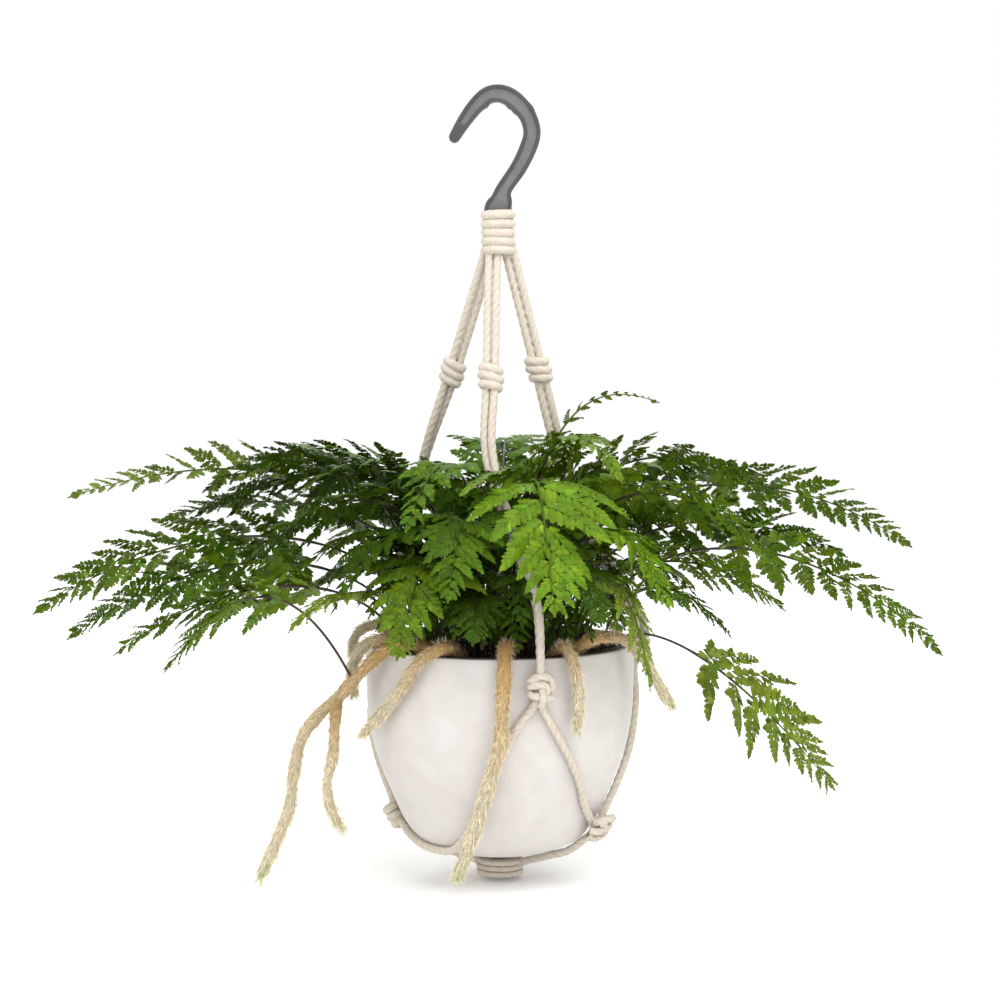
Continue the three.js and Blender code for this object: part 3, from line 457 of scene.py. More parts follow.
def route(points, spacing):
    """A smooth curve through points that aren't evenly spaced, sampled at an even spacing."""
    p = [np.array(q, float) for q in points]
    p = [2 * p[0] - p[1], *p, 2 * p[-1] - p[-2]]
    dense = []
    for a, b, c, d in zip(p, p[1:], p[2:], p[3:]):
        t0, t1, t2 = (max(np.linalg.norm(y - x) ** 0.5, 1e-4) for x, y in ((a, b), (b, c), (c, d)))
        v0 = ((b - a) / t0 - (c - a) / (t0 + t1) + (c - b) / t1) * t1
        v1 = ((c - b) / t1 - (d - b) / (t1 + t2) + (d - c) / t2) * t1
        for w in np.linspace(0, 1, 24, endpoint=False):
            dense.append((2 * b - 2 * c + v0 + v1) * w ** 3 + (-3 * b + 3 * c - 2 * v0 - v1) * w ** 2
                         + v0 * w + b)
    dense = np.array([*dense, p[-2]])
    run = np.concatenate([[0], np.cumsum(np.linalg.norm(np.diff(dense, axis=0), axis=1))])
    at = np.linspace(0, run[-1], max(3, int(run[-1] / spacing) + 1))
    return np.array([np.interp(at, run, dense[:, i]) for i in range(3)]).T


def unit(v):
    return v / np.maximum(np.linalg.norm(v, axis=-1, keepdims=True), 1e-12)


def carried_frames(path):
    """Tangent and two cross directions along a path, turning as little as they can."""
    along = unit(np.gradient(path, axis=0))
    side = unit(np.cross(along[0], [0.3, 0.2, 1.0]))
    sides = []
    for t in along:
        side = unit(side - np.dot(side, t) * t)
        sides.append(side)
    sides = np.array(sides)
    return along, sides, np.cross(along, sides)


def tube_arrays(path, radii, sides):
    """A closed tube along a path with a radius at each point."""
    along, x, y = carried_frames(path)
    turn = np.arange(sides) * TAU / sides
    rings = (path[:, None] + radii[:, None, None]
             * (np.cos(turn)[None, :, None] * x[:, None] + np.sin(turn)[None, :, None] * y[:, None]))
    return close_rings(rings)


def close_rings(rings):
    count, sides = rings.shape[:2]
    points = np.concatenate([rings.reshape(-1, 3), rings[0].mean(0)[None], rings[-1].mean(0)[None]])
    j = np.arange(sides)
    k = (j + 1) % sides
    faces = []
    for i in range(count - 1):
        a, b = i * sides, (i + 1) * sides
        faces += [np.stack([a + j, a + k, b + k], 1), np.stack([a + j, b + k, b + j], 1)]
    first, last = count * sides, count * sides + 1
    faces.append(np.stack([np.full(sides, first), k, j], 1))
    end = (count - 1) * sides
    faces.append(np.stack([np.full(sides, last), end + j, end + k], 1))
    return points, np.concatenate(faces)


class Heap:
    """Gathers points, triangles, colours and material numbers of what is fused into one piece."""

    def __init__(self):
        self.points, self.faces, self.colours, self.parts, self.count = [], [], [], [], 0

    def add(self, points, faces, colours, part=0):
        self.points.append(points)
        self.faces.append(np.asarray(faces) + self.count)
        self.colours.append(np.broadcast_to(colours, points.shape))
        self.parts.append(np.full(len(faces), part))
        self.count += len(points)

    def stamp(self, model, turns, places, colours, part=0):
        """Adds a copy of a model for each 3 by 3 turn and each place."""
        points, faces = model
        copies = np.einsum("nij,vj->nvi", turns, points) + places[:, None]
        steps = np.arange(len(places)) * len(points)
        tints = np.broadcast_to(np.asarray(colours)[:, None] if np.ndim(colours) == 2 else colours,
                                copies.shape)
        self.add(copies.reshape(-1, 3), (faces[None] + steps[:, None, None]).reshape(-1, 3),
                 tints.reshape(-1, 3), part)

    def arrays(self):
        return (np.concatenate(self.points), np.concatenate(self.faces),
                np.concatenate(self.colours), np.concatenate(self.parts))


# Places round the pot

def outward(azimuth):
    a = math.radians(azimuth)
    return np.array([math.sin(a), -math.cos(a), 0])


def sideways(azimuth):
    a = math.radians(azimuth)
    return np.array([math.cos(a), math.sin(a), 0])


def around(azimuth, radius, z):
    return outward(azimuth) * radius + np.array([0, 0, z])


OUTLINE_SAMPLES = spline(POT_OUTLINE, 200)


def wall_at(z):
    i = max(1, int(np.argmax(OUTLINE_SAMPLES[:, 1] <= z)))
    (r0, z0), (r1, z1) = OUTLINE_SAMPLES[i - 1], OUTLINE_SAMPLES[i]
    share = min(1, max(0, (z0 - z) / (z0 - z1)))
    return r0 + (r1 - r0) * share, (0 if z >= 0 else math.atan2(r0 - r1, z0 - z1))


def off_wall(azimuth, z, distance):
    radius, lean = wall_at(z)
    return around(azimuth, radius + distance * math.cos(lean), z - distance * math.sin(lean))


def soil_height(radius):
    edge = (85.3 + (58.4 - 85.3) * 8 / 117) - 1.2 - 0.35
    return -5 + (-9 + 5) * radius / edge


def to_metres(points):
    """From millimetres off the rim plane to metres in the frame."""
    return (np.asarray(points) + np.array([0, 0, -RIM_DROP])) * MM


# Materials

def new_material(name, roughness, specular=0.5):
    material = bpy.data.materials.new(name)
    material.use_nodes = True
    shader = material.node_tree.nodes["Principled BSDF"]
    shader.inputs["Roughness"].default_value = roughness
    shader.inputs["Specular IOR Level"].default_value = specular
    return material, shader


def add_node(material, kind, **settings):
    node = material.node_tree.nodes.new(kind)
    for key, value in settings.items():
        if hasattr(node, key):
            setattr(node, key, value)
        else:
            node.inputs[key.replace("_", " ").title()].default_value = value
    return node


def link(material, start, end):
    material.node_tree.links.new(start, end)


def noise_node(material, scale, detail=4, stretch=None, roughness=0.55):
    place = add_node(material, "ShaderNodeTexCoord")
    grain = add_node(material, "ShaderNodeTexNoise", scale=scale, detail=detail, roughness=roughness)
    if stretch:
        mapping = add_node(material, "ShaderNodeMapping")
        mapping.inputs["Scale"].default_value = stretch
        link(material, place.outputs["Object"], mapping.inputs["Vector"])
        link(material, mapping.outputs["Vector"], grain.inputs["Vector"])
    else:
        link(material, place.outputs["Object"], grain.inputs["Vector"])
    return grain


def blend_colours(material, factor, low, high, start=0.35, end=0.65):
    ramp = add_node(material, "ShaderNodeValToRGB")
    ramp.color_ramp.elements[0].position = start
    ramp.color_ramp.elements[0].color = (*low, 1)
    ramp.color_ramp.elements[1].position = end
    ramp.color_ramp.elements[1].color = (*high, 1)
    link(material, factor, ramp.inputs["Fac"])
    return ramp


def add_bump(material, shader, height, strength, distance):
    bump = add_node(material, "ShaderNodeBump")
    bump.inputs["Strength"].default_value = strength
    bump.inputs["Distance"].default_value = distance
    link(material, height, bump.inputs["Height"])
    link(material, bump.outputs["Normal"], shader.inputs["Normal"])


def grained(name, low, high, roughness, scale, bump_scale, bump, specular=0.5, depth=0.0005):
    """A material whose colour clouds between two shades over a fine grain."""
    material, shader = new_material(name, roughness, specular)
    clouds = noise_node(material, scale, 5)
    link(material, blend_colours(material, clouds.outputs["Fac"], low, high).outputs["Color"],
         shader.inputs["Base Color"])
    grain = noise_node(material, bump_scale, 4)
    add_bump(material, shader, grain.outputs["Fac"], bump, depth)
    spread = add_node(material, "ShaderNodeMapRange")
    spread.inputs["To Min"].default_value = roughness - 0.08
    spread.inputs["To Max"].default_value = roughness + 0.08
    link(material, clouds.outputs["Fac"], spread.inputs["Value"])
    link(material, spread.outputs["Result"], shader.inputs["Roughness"])
    return material


def tinted(name, roughness, scale, bump, specular=0.5, depth=0.0003, variation=0.25):
    """A material that takes its colour from the piece's own Tint, clouded a little."""
    material, shader = new_material(name, roughness, specular)
    tint = add_node(material, "ShaderNodeVertexColor", layer_name="Tint")
    clouds = noise_node(material, scale, 4)
    spread = add_node(material, "ShaderNodeMapRange")
    spread.inputs["From Min"].default_value = 0.3
    spread.inputs["From Max"].default_value = 0.7
    spread.inputs["To Min"].default_value = 1 - variation
    spread.inputs["To Max"].default_value = 1 + variation
    link(material, clouds.outputs["Fac"], spread.inputs["Value"])
    shade = add_node(material, "ShaderNodeVectorMath", operation="SCALE")
    link(material, tint.outputs["Color"], shade.inputs[0])
    link(material, spread.outputs["Result"], shade.inputs["Scale"])
    link(material, shade.outputs["Vector"], shader.inputs["Base Color"])
    add_bump(material, shader, clouds.outputs["Fac"], bump, depth)
    return material


def finishes():
    """Every finish, made once and kept in the file."""
    made = {m.name: m for m in bpy.data.materials}
    if "glazed_off_white" in made:
        return made
    c = bpy.context.scene.planter_colours
    grained("glazed_off_white", c.pot_mottle, c.pot, 0.55, 70, 420, 0.12, 0.3, 0.0003)
    grained("black_nursery_plastic", c.liner, tuple(2 * v for v in c.liner), 0.45, 60, 900, 0.1)
    tinted("grey_moulded_plastic", 0.42, 90, 0.2, 0.4, 0.0002, 0.14)
    tinted("cotton_strand", 0.9, 420, 0.45, 0.12, 0.0005, 0.1)
    grained("damp_soil", c.soil, tuple(3 * v for v in c.soil), 0.9, 160, 700, 0.8, 0.3, 0.002)
    tinted("woolly_scales", 0.75, 500, 0.3, 0.25)
    tinted("bark_and_roots", 0.85, 400, 0.5, 0.25)
    tinted("glossy_leaf", 0.4, 170, 0.35, 0.1, 0.0004)
    grained("wiry_stalk", c.stalk, tuple(2.2 * v for v in c.stalk), 0.4, 90, 900, 0.2, 0.5, 0.0002)
    return {m.name: m for m in bpy.data.materials}


# Turned shapes

def turned(name, profile, steps):
    """A profile drawn by extruding one point, then spun about Z. Radius and height in metres."""
    deselect()
    bpy.ops.mesh.primitive_plane_add(size=0.01, location=(0, 0, 0))
    piece = bpy.context.object
    piece.name = name
    bpy.ops.object.mode_set(mode="EDIT")
    bpy.ops.mesh.select_all(action="SELECT")
    bpy.ops.mesh.merge(type="CENTER")
    bpy.ops.transform.translate(value=(profile[0][0], 0, profile[0][1]))
    for (r0, z0), (r1, z1) in zip(profile, profile[1:]):
        bpy.ops.mesh.extrude_region_move(TRANSFORM_OT_translate={"value": (r1 - r0, 0, z1 - z0)})
    bpy.ops.mesh.select_all(action="SELECT")
    bpy.ops.mesh.spin(steps=steps, angle=TAU, center=(0, 0, 0), axis=(0, 0, 1))
    bpy.ops.object.mode_set(mode="OBJECT")
    tidy_skin(piece, 2e-6)
    return piece


def pot_profile(wall):
    outer = [(r, z) for r, z in spline(POT_OUTLINE, 54)][::-1]
    inner = []
    for r, z in spline(POT_OUTLINE, 40):
        lean = wall_at(z)[1]
        inner.append((r - wall * math.cos(lean), z + wall * math.sin(lean)))
    lip = [(90, -0.9), (89.7, -0.25), (89.0, 0.0), (90 - wall + 1, 0.0), (90 - wall + 0.3, -0.3)]
    inner = [(r, z) for r, z in inner if -133 < z < -1.2 and r > 2]
    floor = inner[-1][1] - 0.8
    return [(0, -140), *[p for p in outer if p[1] < -1.2], *lip, *inner, (0, floor)]


def in_metres(profile):
    return [(r * MM, (z - RIM_DROP) * MM) for r, z in profile]


# Rope

def dye(piece, colours):
    """Gives a piece its Tint, one colour or a colour for each point."""
    tint = piece.data.color_attributes.new(name="Tint", type="FLOAT_COLOR", domain="POINT")
    rgba = np.ones((len(piece.data.vertices), 4), np.float32)
    rgba[:, :3] = colours
    tint.data.foreach_set("color", rgba.ravel())


def rope(points, sizes, radius=None, spacing=1.9, lobe=0.2):
    """Three strands, drawn as circles and screwed along Z, laid along a route by a curve."""
    path = to_metres(route(points, spacing))
    length = float(np.linalg.norm(np.diff(path, axis=0), axis=1).sum())
    radius = radius or sizes.rope_radius
    deselect()
    strands = []
    for k in range(3):
        turn = TAU * k / 3
        bpy.ops.mesh.primitive_circle_add(
            vertices=7, radius=radius * (1.01 - lobe),
            location=(radius * lobe * math.cos(turn), radius * lobe * math.sin(turn), 0))
        strands.append(bpy.context.object)
    piece = join("rope", strands)
    bpy.ops.object.transform_apply(location=True, rotation=True, scale=True)
    lay = piece.modifiers.new("lay", "SCREW")
    lay.axis = "Z"
    lay.angle = TAU * length / sizes.rope_lay
    lay.screw_offset = length
    lay.steps = lay.render_steps = max(4, int(length / (spacing * MM)))
    lay.use_merge_vertices = False
    apply(lay)
    c = bpy.context.scene.planter_colours
    # Painted shade: the grooves between the strands take the rope shade colour, which fades to the plain cotton on the
    # strands' outsides.
    points = np.array([v.co[:] for v in piece.data.vertices])
    light = np.clip((np.hypot(points[:, 0], points[:, 1]) / radius - 0.8) / 0.16, 0, 1)[:, None]
    dye(piece, np.array(c.cotton_shade) * (1 - light) + np.array(c.cotton) * light)
    edit(piece)
    bpy.ops.mesh.fill_holes(sides=0)
    bpy.ops.mesh.select_all(action="SELECT")
    bpy.ops.mesh.normals_make_consistent(inside=False)
    bpy.ops.object.mode_set(mode="OBJECT")
    line = bpy.data.curves.new("route", "CURVE")
    line.dimensions = "3D"
    line.twist_mode = "MINIMUM"
    track = line.splines.new("POLY")
    track.points.add(len(path) - 1)
    track.points.foreach_set("co", np.c_[path, np.ones(len(path))].ravel())
    guide = bpy.data.objects.new("route", line)
    bpy.context.scene.collection.objects.link(guide)
    follow = piece.modifiers.new("follow", "CURVE")
    follow.object = guide
    follow.deform_axis = "POS_Z"
    take(piece)
    apply(follow)
    bpy.data.objects.remove(guide, do_unlink=True)
    return piece


def knot_frame(centre, along, facing):
    z = unit(np.array(along, float))
    x = unit(np.cross(facing, z))
    return np.array(centre, float), x, np.cross(z, x), z


def loop(knot, height, wide, deep, tilt, begin=0.0, sweep=1.06, swing=0.0, out=0.0):
    """A turn of rope round a knot: wide and deep are its half sizes, tilt how far it slants."""
    centre, x, y, z = knot
    turns = begin + np.linspace(0, sweep, max(5, int(26 * sweep))) * TAU
    return [centre + x * (wide * math.sin(a)) + y * (-deep * math.cos(a) - out)
            + z * (height + tilt * math.sin(a) + swing * math.cos(a)) for a in turns]


# Strands of the tied knots, as places to the right of, out from and above the knot's middle
RIM_KNOT = [
    (2.75, [(-4.8, -1.5, 4.4), (-7.2, 1.4, 5.0), (-4.5, 4.4, 7.0), (0, 5.6, 7.9), (4.8, 4.8, 6.9),
            (7.5, 3.0, 3.8), (7.6, 2.2, 0.2), (5.8, 0, -2.0)]),
    (2.7, [(-5.2, -1.4, 1.0), (-7.5, 1.9, 1.4), (-4.5, 4.9, 2.5), (-0.5, 6.2, 2.8), (2.7, 6.0, 1.2),
           (3.8, 5.0, -1.8), (2.2, 2.6, -3.6)]),
    (2.5, [(-3.6, -1, -3.4), (-7.6, 1.4, -3.6), (-5.6, 4.2, -4.6), (-2.2, 4.6, -4.6), (0.5, 2.2, -4.0)]),
    (2.5, [(4.2, -1, -5.2), (8.0, 1.4, -5.4), (5.8, 4.2, -6.1), (2.6, 4.6, -5.6), (-0.5, 2.2, -5.0)]),
    (2.4, [(0, 2.6, 1.0), (0.1, 6.4, -1.8), (0.2, 6.8, -5.0), (0.1, 5.4, -8.6), (0, 1.6, -11.2)]),
]
LOW_KNOT = [
    (2.8, [(-5.8, -1, 2.6), (-6.6, 2.2, 5.0), (-2.6, 4.6, 7.2), (3.0, 4.8, 6.6), (6.9, 3.0, 3.4),
           (7.2, 0, -0.6)]),
    (2.7, [(-7.4, 0, -2.0), (-6.4, 3.4, -1.0), (-1.6, 5.6, 0.8), (3.8, 5.4, 2.2), (7.3, 2.8, 0.2),
           (6.8, -0.5, -3.0)]),
    (2.6, [(-6.4, 0, -5.4), (-4.0, 3.4, -6.0), (0.6, 5.4, -4.6), (4.9, 4.2, -2.6), (6.8, 1.0, -2.2)]),
    (2.5, [(-5.6, 2.4, 4.2), (-2.6, 6.0, 2.6), (1.2, 6.6, -0.8), (3.8, 5.0, -4.6), (4.4, 1.4, -7.2)]),
]


def knot_ropes(knot, sizes, length, width, depth, slant, kind):
    """The tied loops of a knot, within its length, width and depth."""
    r = 3.2
    wide, deep, tilt = width / 2 - r, depth / 2 - r, slant * length * 0.5
    third = length / 3
    centre, x, y, z = knot
    spread, tall = width / 18, length / 20
    ropes = [rope([centre - x * a * spread + y * b + z * c * tall for a, b, c in strand], sizes, radius * MM, 1.1, 0.2)
             for radius, strand in {"rim": RIM_KNOT, "low": LOW_KNOT, "wound": []}[kind]]
    if kind == "wound":
        for height, w, d, t, begin in (
                (third * 0.84, wide, deep, tilt + 0.3, 0.5), (0, wide + 0.4, deep + 0.3, tilt + 0.9, 0.45),
                (-third * 0.84, wide - 0.2, deep, tilt + 0.2, 0.55)):
            ropes.append(rope(loop(knot, height, w, d, t, begin), sizes, r * MM, 1.2, 0.14))
    core = knot_core(knot, length * 0.72, width * 0.56, depth * 0.5)
    return [*ropes, core]


def knot_core(knot, length, width, depth):
    """Rope inside a knot, so that no light shows between its loops."""
    centre, x, y, z = knot
    deselect()
    bpy.ops.mesh.primitive_uv_sphere_add(segments=16, ring_count=10, radius=1)
    core = bpy.context.object
    turn = Matrix([[x[i] * width / 2, y[i] * depth / 2, z[i] * length / 2] for i in range(3)]).to_4x4()
    core.data.transform(Matrix.Translation(Vector(to_metres(centre))) @ Matrix.Scale(MM, 4) @ turn)
    c = bpy.context.scene.planter_colours
    # The core is rope, coloured halfway between the cotton and its painted shade.
    dye(core, [(a + b) / 2 for a, b in zip(c.cotton, c.cotton_shade)])
    return core


# Operators

class PieceOperator(bpy.types.Operator):
    """Shared by the operators that make pieces."""

    bl_options = {"REGISTER", "UNDO"}

    def execute(self, context):
        self.make(context.scene.planter_sizes, context.scene.plant_sizes, finishes())
        return {"FINISHED"}


class FERNPOT_OT_pot(PieceOperator):
    """Turns the ceramic pot and the nursery pot inside it."""

    bl_idname = "fernpot.pot"
    bl_label = "Pot and nursery pot"

    def make(self, sizes, plant, finish):
        pot = turned("ceramic_pot", in_metres(pot_profile(sizes.pot_wall / MM)), sizes.pot_steps)
        smooth(pot, 35)
        hand_over(pot, finish["glazed_off_white"], "pot", "pot")
        liner = turned("plastic_nursery_pot", in_metres([
            (0, -118), (57.6, -118), (58.4, -117), (84.6, -4), (84.9, -3), (85.6, -2.6), (85.7, 0.6),
            (85.3, 0.9), (84.2, 0.9), (83.9, 0.5), (83.7, -3), (57.2, -116.8), (0, -116.8)]), 80)
        smooth(liner, 35)
        hand_over(liner, finish["black_nursery_plastic"], "nursery_pot", "nursery_pot")


class FERNPOT_OT_soil(PieceOperator):
    """Fills the nursery pot with rough soil and scatters bark and scaly roots on it."""

    bl_idname = "fernpot.soil"
    bl_label = "Soil"

    def make(self, sizes, plant, finish):
        draw = np.random.default_rng(21)
        edge = 82.0
        soil = turned("potting_mix", in_metres(
            [(0, -116), (57, -116), (81.6, -12), (edge, -9.6)]
            + [(r, soil_height(r)) for r in np.linspace(edge - 1.5, 1.5, 40)] + [(0, -5)]), 96)
        for v in soil.data.vertices:
            if v.co.z > (-14 - RIM_DROP) * MM and math.hypot(v.co.x, v.co.y) < 0.0812:
                spot = v.co * 90
                v.co.z += 0.0035 * noise.noise(spot) + 0.0015 * noise.noise(v.co * 320)
        smooth(soil, 60)
        hand_over(soil, finish["damp_soil"], "potting_soil", "potting_soil")
        deselect()
        bpy.ops.mesh.primitive_cube_add(size=1)
        chip = bpy.context.object
        bpy.ops.object.mode_set(mode="EDIT")
        bpy.ops.mesh.bevel(offset=0.22, segments=1)
        bpy.ops.object.mode_set(mode="OBJECT")
        model = mesh_arrays(chip)
        c = bpy.context.scene.planter_colours
        heap = Heap()
        n = plant.soil_chips
        radius = 80 * np.sqrt(draw.random(n))
        azimuth = draw.random(n) * 360
        places = np.array([around(a, r, soil_height(r) + draw.uniform(0.2, 3.2))
                           for a, r in zip(azimuth, radius)])
        size = np.stack([draw.uniform(3, 9, n), draw.uniform(1.6, 4, n), draw.uniform(0.8, 2.2, n)], 1)
        turns = np.array([np.array(Matrix.Rotation(a, 3, "Z") @ Matrix.Rotation(b, 3, "X"))
                          for a, b in zip(draw.uniform(0, TAU, n), draw.normal(0, 0.35, n))])
        shade = draw.random((n, 1)) ** 1.6
        tints = np.array(c.soil) * 2 * (1 - shade) + np.array(c.bark) * shade
        heap.stamp(model, turns * size[:, None, :], places, tints)
        points, faces, colours, parts = heap.arrays()
        chips = mesh_piece("bark_chips", to_metres(points), faces, colours, smooth_angle=30)
        take(chips)
        hand_over(chips, finish["bark_and_roots"], "potting_soil", "potting_soil")


class FERNPOT_OT_hook(PieceOperator):
    """Cuts the hook's outline from a plate and sinks its web between raised rims."""

    bl_idname = "fernpot.hook"
    bl_label = "Hook"

    def make(self, sizes, plant, finish):
        line = spline(HOOK_SPINE, 90)
        way = unit(np.gradient(line[:, :2], axis=0))
        tip = [(line[0, 0] - way[0, 0] * line[0, 2] / 2 * math.sin(a) * 1.1,
                line[0, 1] - way[0, 1] * line[0, 2] / 2 * math.sin(a) * 1.1, line[0, 2] * math.cos(a))
               for a in np.radians([76, 60, 40, 20])]
        line = np.concatenate([tip, line])
        way = unit(np.gradient(line[:, :2], axis=0))
        across = np.stack([-way[:, 1], way[:, 0]], 1)
        half = line[:, 2] / 2
        rim = sizes.hook_rim / MM
        rows = np.stack([half, np.maximum(half - rim, half * 0.4)], 1)
        rows = np.stack([rows[:, 0], rows[:, 1], -rows[:, 1], -rows[:, 0]], 1)
        # The bow's inner side has two low lumps and its outer side a soft corner
        for x, z, column, height in HOOK_LUMPS:
            near = np.exp(-((line[:, 0] - x) ** 2 + (line[:, 1] - z) ** 2) / 5.0)
            rows[:, column] += height * near
        depth = sizes.hook_thickness
        deselect()
        bpy.ops.mesh.primitive_grid_add(x_subdivisions=3, y_subdivisions=len(line) - 1, size=2)
        hook = bpy.context.object
        hook.name = "moulded_hook"
        grid = sorted(hook.data.vertices, key=lambda v: (round(v.co.y, 4), v.co.x))
        for i, v in enumerate(grid):
            x, z = line[i // 4, :2] + across[i // 4] * rows[i // 4, i % 4]
            v.co = (x * MM, -depth / 2, z * MM)
        edit(hook)
        bpy.ops.mesh.extrude_region_move(TRANSFORM_OT_translate={"value": (0, depth, 0)})
        bpy.ops.mesh.select_all(action="SELECT")
        bpy.ops.mesh.normals_make_consistent(inside=False)
        bpy.ops.object.mode_set(mode="OBJECT")

        def web(polygon):
            gap = np.hypot(line[:, 0] * MM - polygon.center.x, line[:, 1] * MM - polygon.center.z)
            near = int(gap.argmin())
            return abs(polygon.normal.y) > 0.9 and near > 5 and gap[near] < (half[near] - rim) * MM * 0.6

        pick_faces(hook, web)
        bpy.ops.mesh.inset(thickness=0.0004, depth=-sizes.hook_recess, use_even_offset=True)
        leave_edit()
        round_over = hook.modifiers.new("round_over", "BEVEL")
        round_over.width = 0.0005
        round_over.segments = 2
        round_over.limit_method = "ANGLE"
        round_over.angle_limit = math.radians(40)
        apply(round_over)
        smooth(hook, 30)
        c = bpy.context.scene.planter_colours
        # Painted shade: the raised rims and the walls of the recess take the dark rim colour, and only the sunk web
        # keeps the plain grey.
        tint = hook.data.color_attributes.new(name="Tint", type="FLOAT_COLOR", domain="POINT")
        for v, spot in zip(hook.data.vertices, tint.data):
            gap = np.hypot(line[:, 0] * MM - v.co.x, line[:, 1] * MM - v.co.z)
            near = int(gap.argmin())
            inside = (half[near] - rim) * MM - gap[near]
            sunk = abs(v.co.y) < depth / 2 - 0.6 * sizes.hook_recess
            shade = c.hook if sunk and inside > 0.0002 else c.hook_rim_shade
            spot.color = (*shade, 1)
        hand_over(hook, finish["grey_moulded_plastic"], "hook", "hook")


class FERNPOT_OT_wrap(PieceOperator):
    """Winds the rope round the hook's shank and the ring under the pot."""

    bl_idname = "fernpot.wrap"
    bl_label = "Wrap and ring"

    def make(self, sizes, plant, finish):
        pitch = 5.8
        wrap_rope = pitch / 2 + 0.35
        wrap_top, turns, radius = 287.0, 5, 11.65 - wrap_rope
        rows = []
        for k in range(turns):
            z = wrap_top - (k + 0.5) * pitch
            begin = 0.42 + 0.03 * k
            rows.append(rope([(-1.2 + radius * math.sin(a), radius * math.cos(a), z + 0.3 * math.sin(a + k))
                              for a in (begin + np.linspace(0, 1.03, 27)) * TAU], sizes,
                             wrap_rope * MM, 1.3, 0.1))
        # A cylinder in the painted shade colour fills the wrap, so the gaps between its turns show painted shade.
        deselect()
        middle = (wrap_top - turns * pitch / 2 - RIM_DROP) * MM
        bpy.ops.mesh.primitive_cylinder_add(
            vertices=32, radius=(radius + 0.4) * MM, depth=(turns * pitch - 2) * MM,
            location=(-1.2 * MM, 0, middle))
        dye(bpy.context.object, bpy.context.scene.planter_colours.cotton_shade)
        rows.append(bpy.context.object)
        hand_over(join("rope_wrap", rows), finish["cotton_strand"], "rope", "hanger_wrap")
        pitch = 11.6 / 3
        radius = 16 - pitch / 2
        rows = []
        for k in range(3):
            z = -146.6 - (k + 0.5) * pitch
            for inner in (0, pitch * 0.92):
                rows.append(rope([((radius - inner) * math.sin(a), (radius - inner) * math.cos(a),
                                   z + 0.04 * math.sin(a * 2 + k))
                                  for a in (0.3 * k + np.linspace(0, 1.02, 29)) * TAU], sizes,
                                 pitch / 2 * MM, 1.6, 0.16))
        hand_over(join("rope_ring", rows), finish["cotton_strand"], "rope", "hanger_ring")


class FERNPOT_OT_legs(PieceOperator):
    """Lays the three legs of two ropes each, with a knot part of the way down."""

    bl_idname = "fernpot.legs"
    bl_label = "Hanger legs"

    def make(self, sizes, plant, finish):
        r = sizes.rope_radius / MM
        for name, leg in LEGS.items():
            rim = outward(leg.get("pair", leg["azimuth"]))
            points = [np.array(p, float) for p in leg["route"]]
            points.insert(0, np.array([points[0][0] * 0.4, points[0][1] * 0.4, 276]))
            points += [around(leg["azimuth"], 98.4, leg["rim"] + 22 * 0.62),
                       around(leg["azimuth"], 97.8, leg["rim"] + 22 * 0.22)]
            ropes = []
            for side in (-1, 1):
                shifted = []
                for i, p in enumerate(points):
                    turn = min(1, max(0, i - 1) / len(leg["route"]))
                    apart = unit(np.array([1.0, 0, 0]) * (1 - turn) + rim * turn)
                    shifted.append(p + apart * side * r * 1.0)
                ropes.append(rope(shifted, sizes))
            centre = np.array(leg["knot"], float)
            along = np.array(leg["route"][0], float) - centre
            knot = knot_frame(centre, along, (0, -1, 0))
            parts = [*ropes, *knot_ropes(knot, sizes, 20, 17.4, 13, 0.1, "wound")]
            piece = join(f"rope_leg_{name}", parts)
            smooth(piece, 70)
            hand_over(piece, finish["cotton_strand"], "rope", f"hanger_leg_{name}")


class FERNPOT_OT_net(PieceOperator):
    """Lays the ropes of the net over the pot, with their rim knots and low knots."""

    bl_idname = "fernpot.net"
    bl_label = "Hanger net"

    def make(self, sizes, plant, finish):
        off = sizes.rope_radius / MM + 0.3
        for name, leg in LEGS.items():
            centre = around(leg["azimuth"], 97.2, leg["rim"])
            knot = knot_frame(centre, (0, 0, 1), outward(leg["azimuth"]))
            parts = knot_ropes(knot, sizes, 20, 15.6, 12.5, 0.1, "rim")
            for low, path in DIAGONALS[name].items():
                start = centre + np.array([0, 0, -5.5])
                end = off_wall(*LOW_KNOTS[low], 5)
                parts.append(rope([start, *[off_wall(a, z, off) for a, z in path], end], sizes))
            piece = join(f"rope_net_{name}", parts)
            smooth(piece, 70)
            hand_over(piece, finish["cotton_strand"], "rope", f"hanger_net_{name}")
        for name, (azimuth, z) in LOW_KNOTS.items():
            centre = off_wall(azimuth, z, 6)
            along = centre - off_wall(azimuth, z - 6, 6)
            knot = knot_frame(centre, along, centre - off_wall(azimuth, z, 0))
            if name == "right":
                parts = knot_ropes(knot_frame(off_wall(azimuth - 4, z + 4, 6.3), along,
                                              centre - off_wall(azimuth, z, 0)), sizes, 26, 23, 13, 0, "low")
            else:
                parts = knot_ropes(knot, sizes, 19, 16.4, 12.4, -0.2, "wound")
            parts.append(rope([centre, off_wall(azimuth, z - 10, off), around(azimuth, 49, -138.5),
                               around(azimuth, 35, -143), around(azimuth, 14, -149.6)], sizes))
            piece = join(f"rope_low_knot_{name}", parts)
            smooth(piece, 70)
            hand_over(piece, finish["cotton_strand"], "rope", f"hanger_low_knot_{name}")


def scale_model():
    """A bent three-sided scale, one unit long, that points along Z."""
    deselect()
    bpy.ops.mesh.primitive_cylinder_add(vertices=3, radius=0.5, depth=0.5, location=(0, 0, 0.25))
    piece = bpy.context.object
    bpy.ops.object.transform_apply(location=True, rotation=True, scale=True)
    pick_faces(piece, lambda polygon: polygon.normal.z > 0.9)
    bpy.ops.mesh.extrude_region_move(TRANSFORM_OT_translate={"value": (0.6, 0, 0.5)})
    bpy.ops.mesh.merge(type="CENTER")
    leave_edit()
    return mesh_arrays(piece)


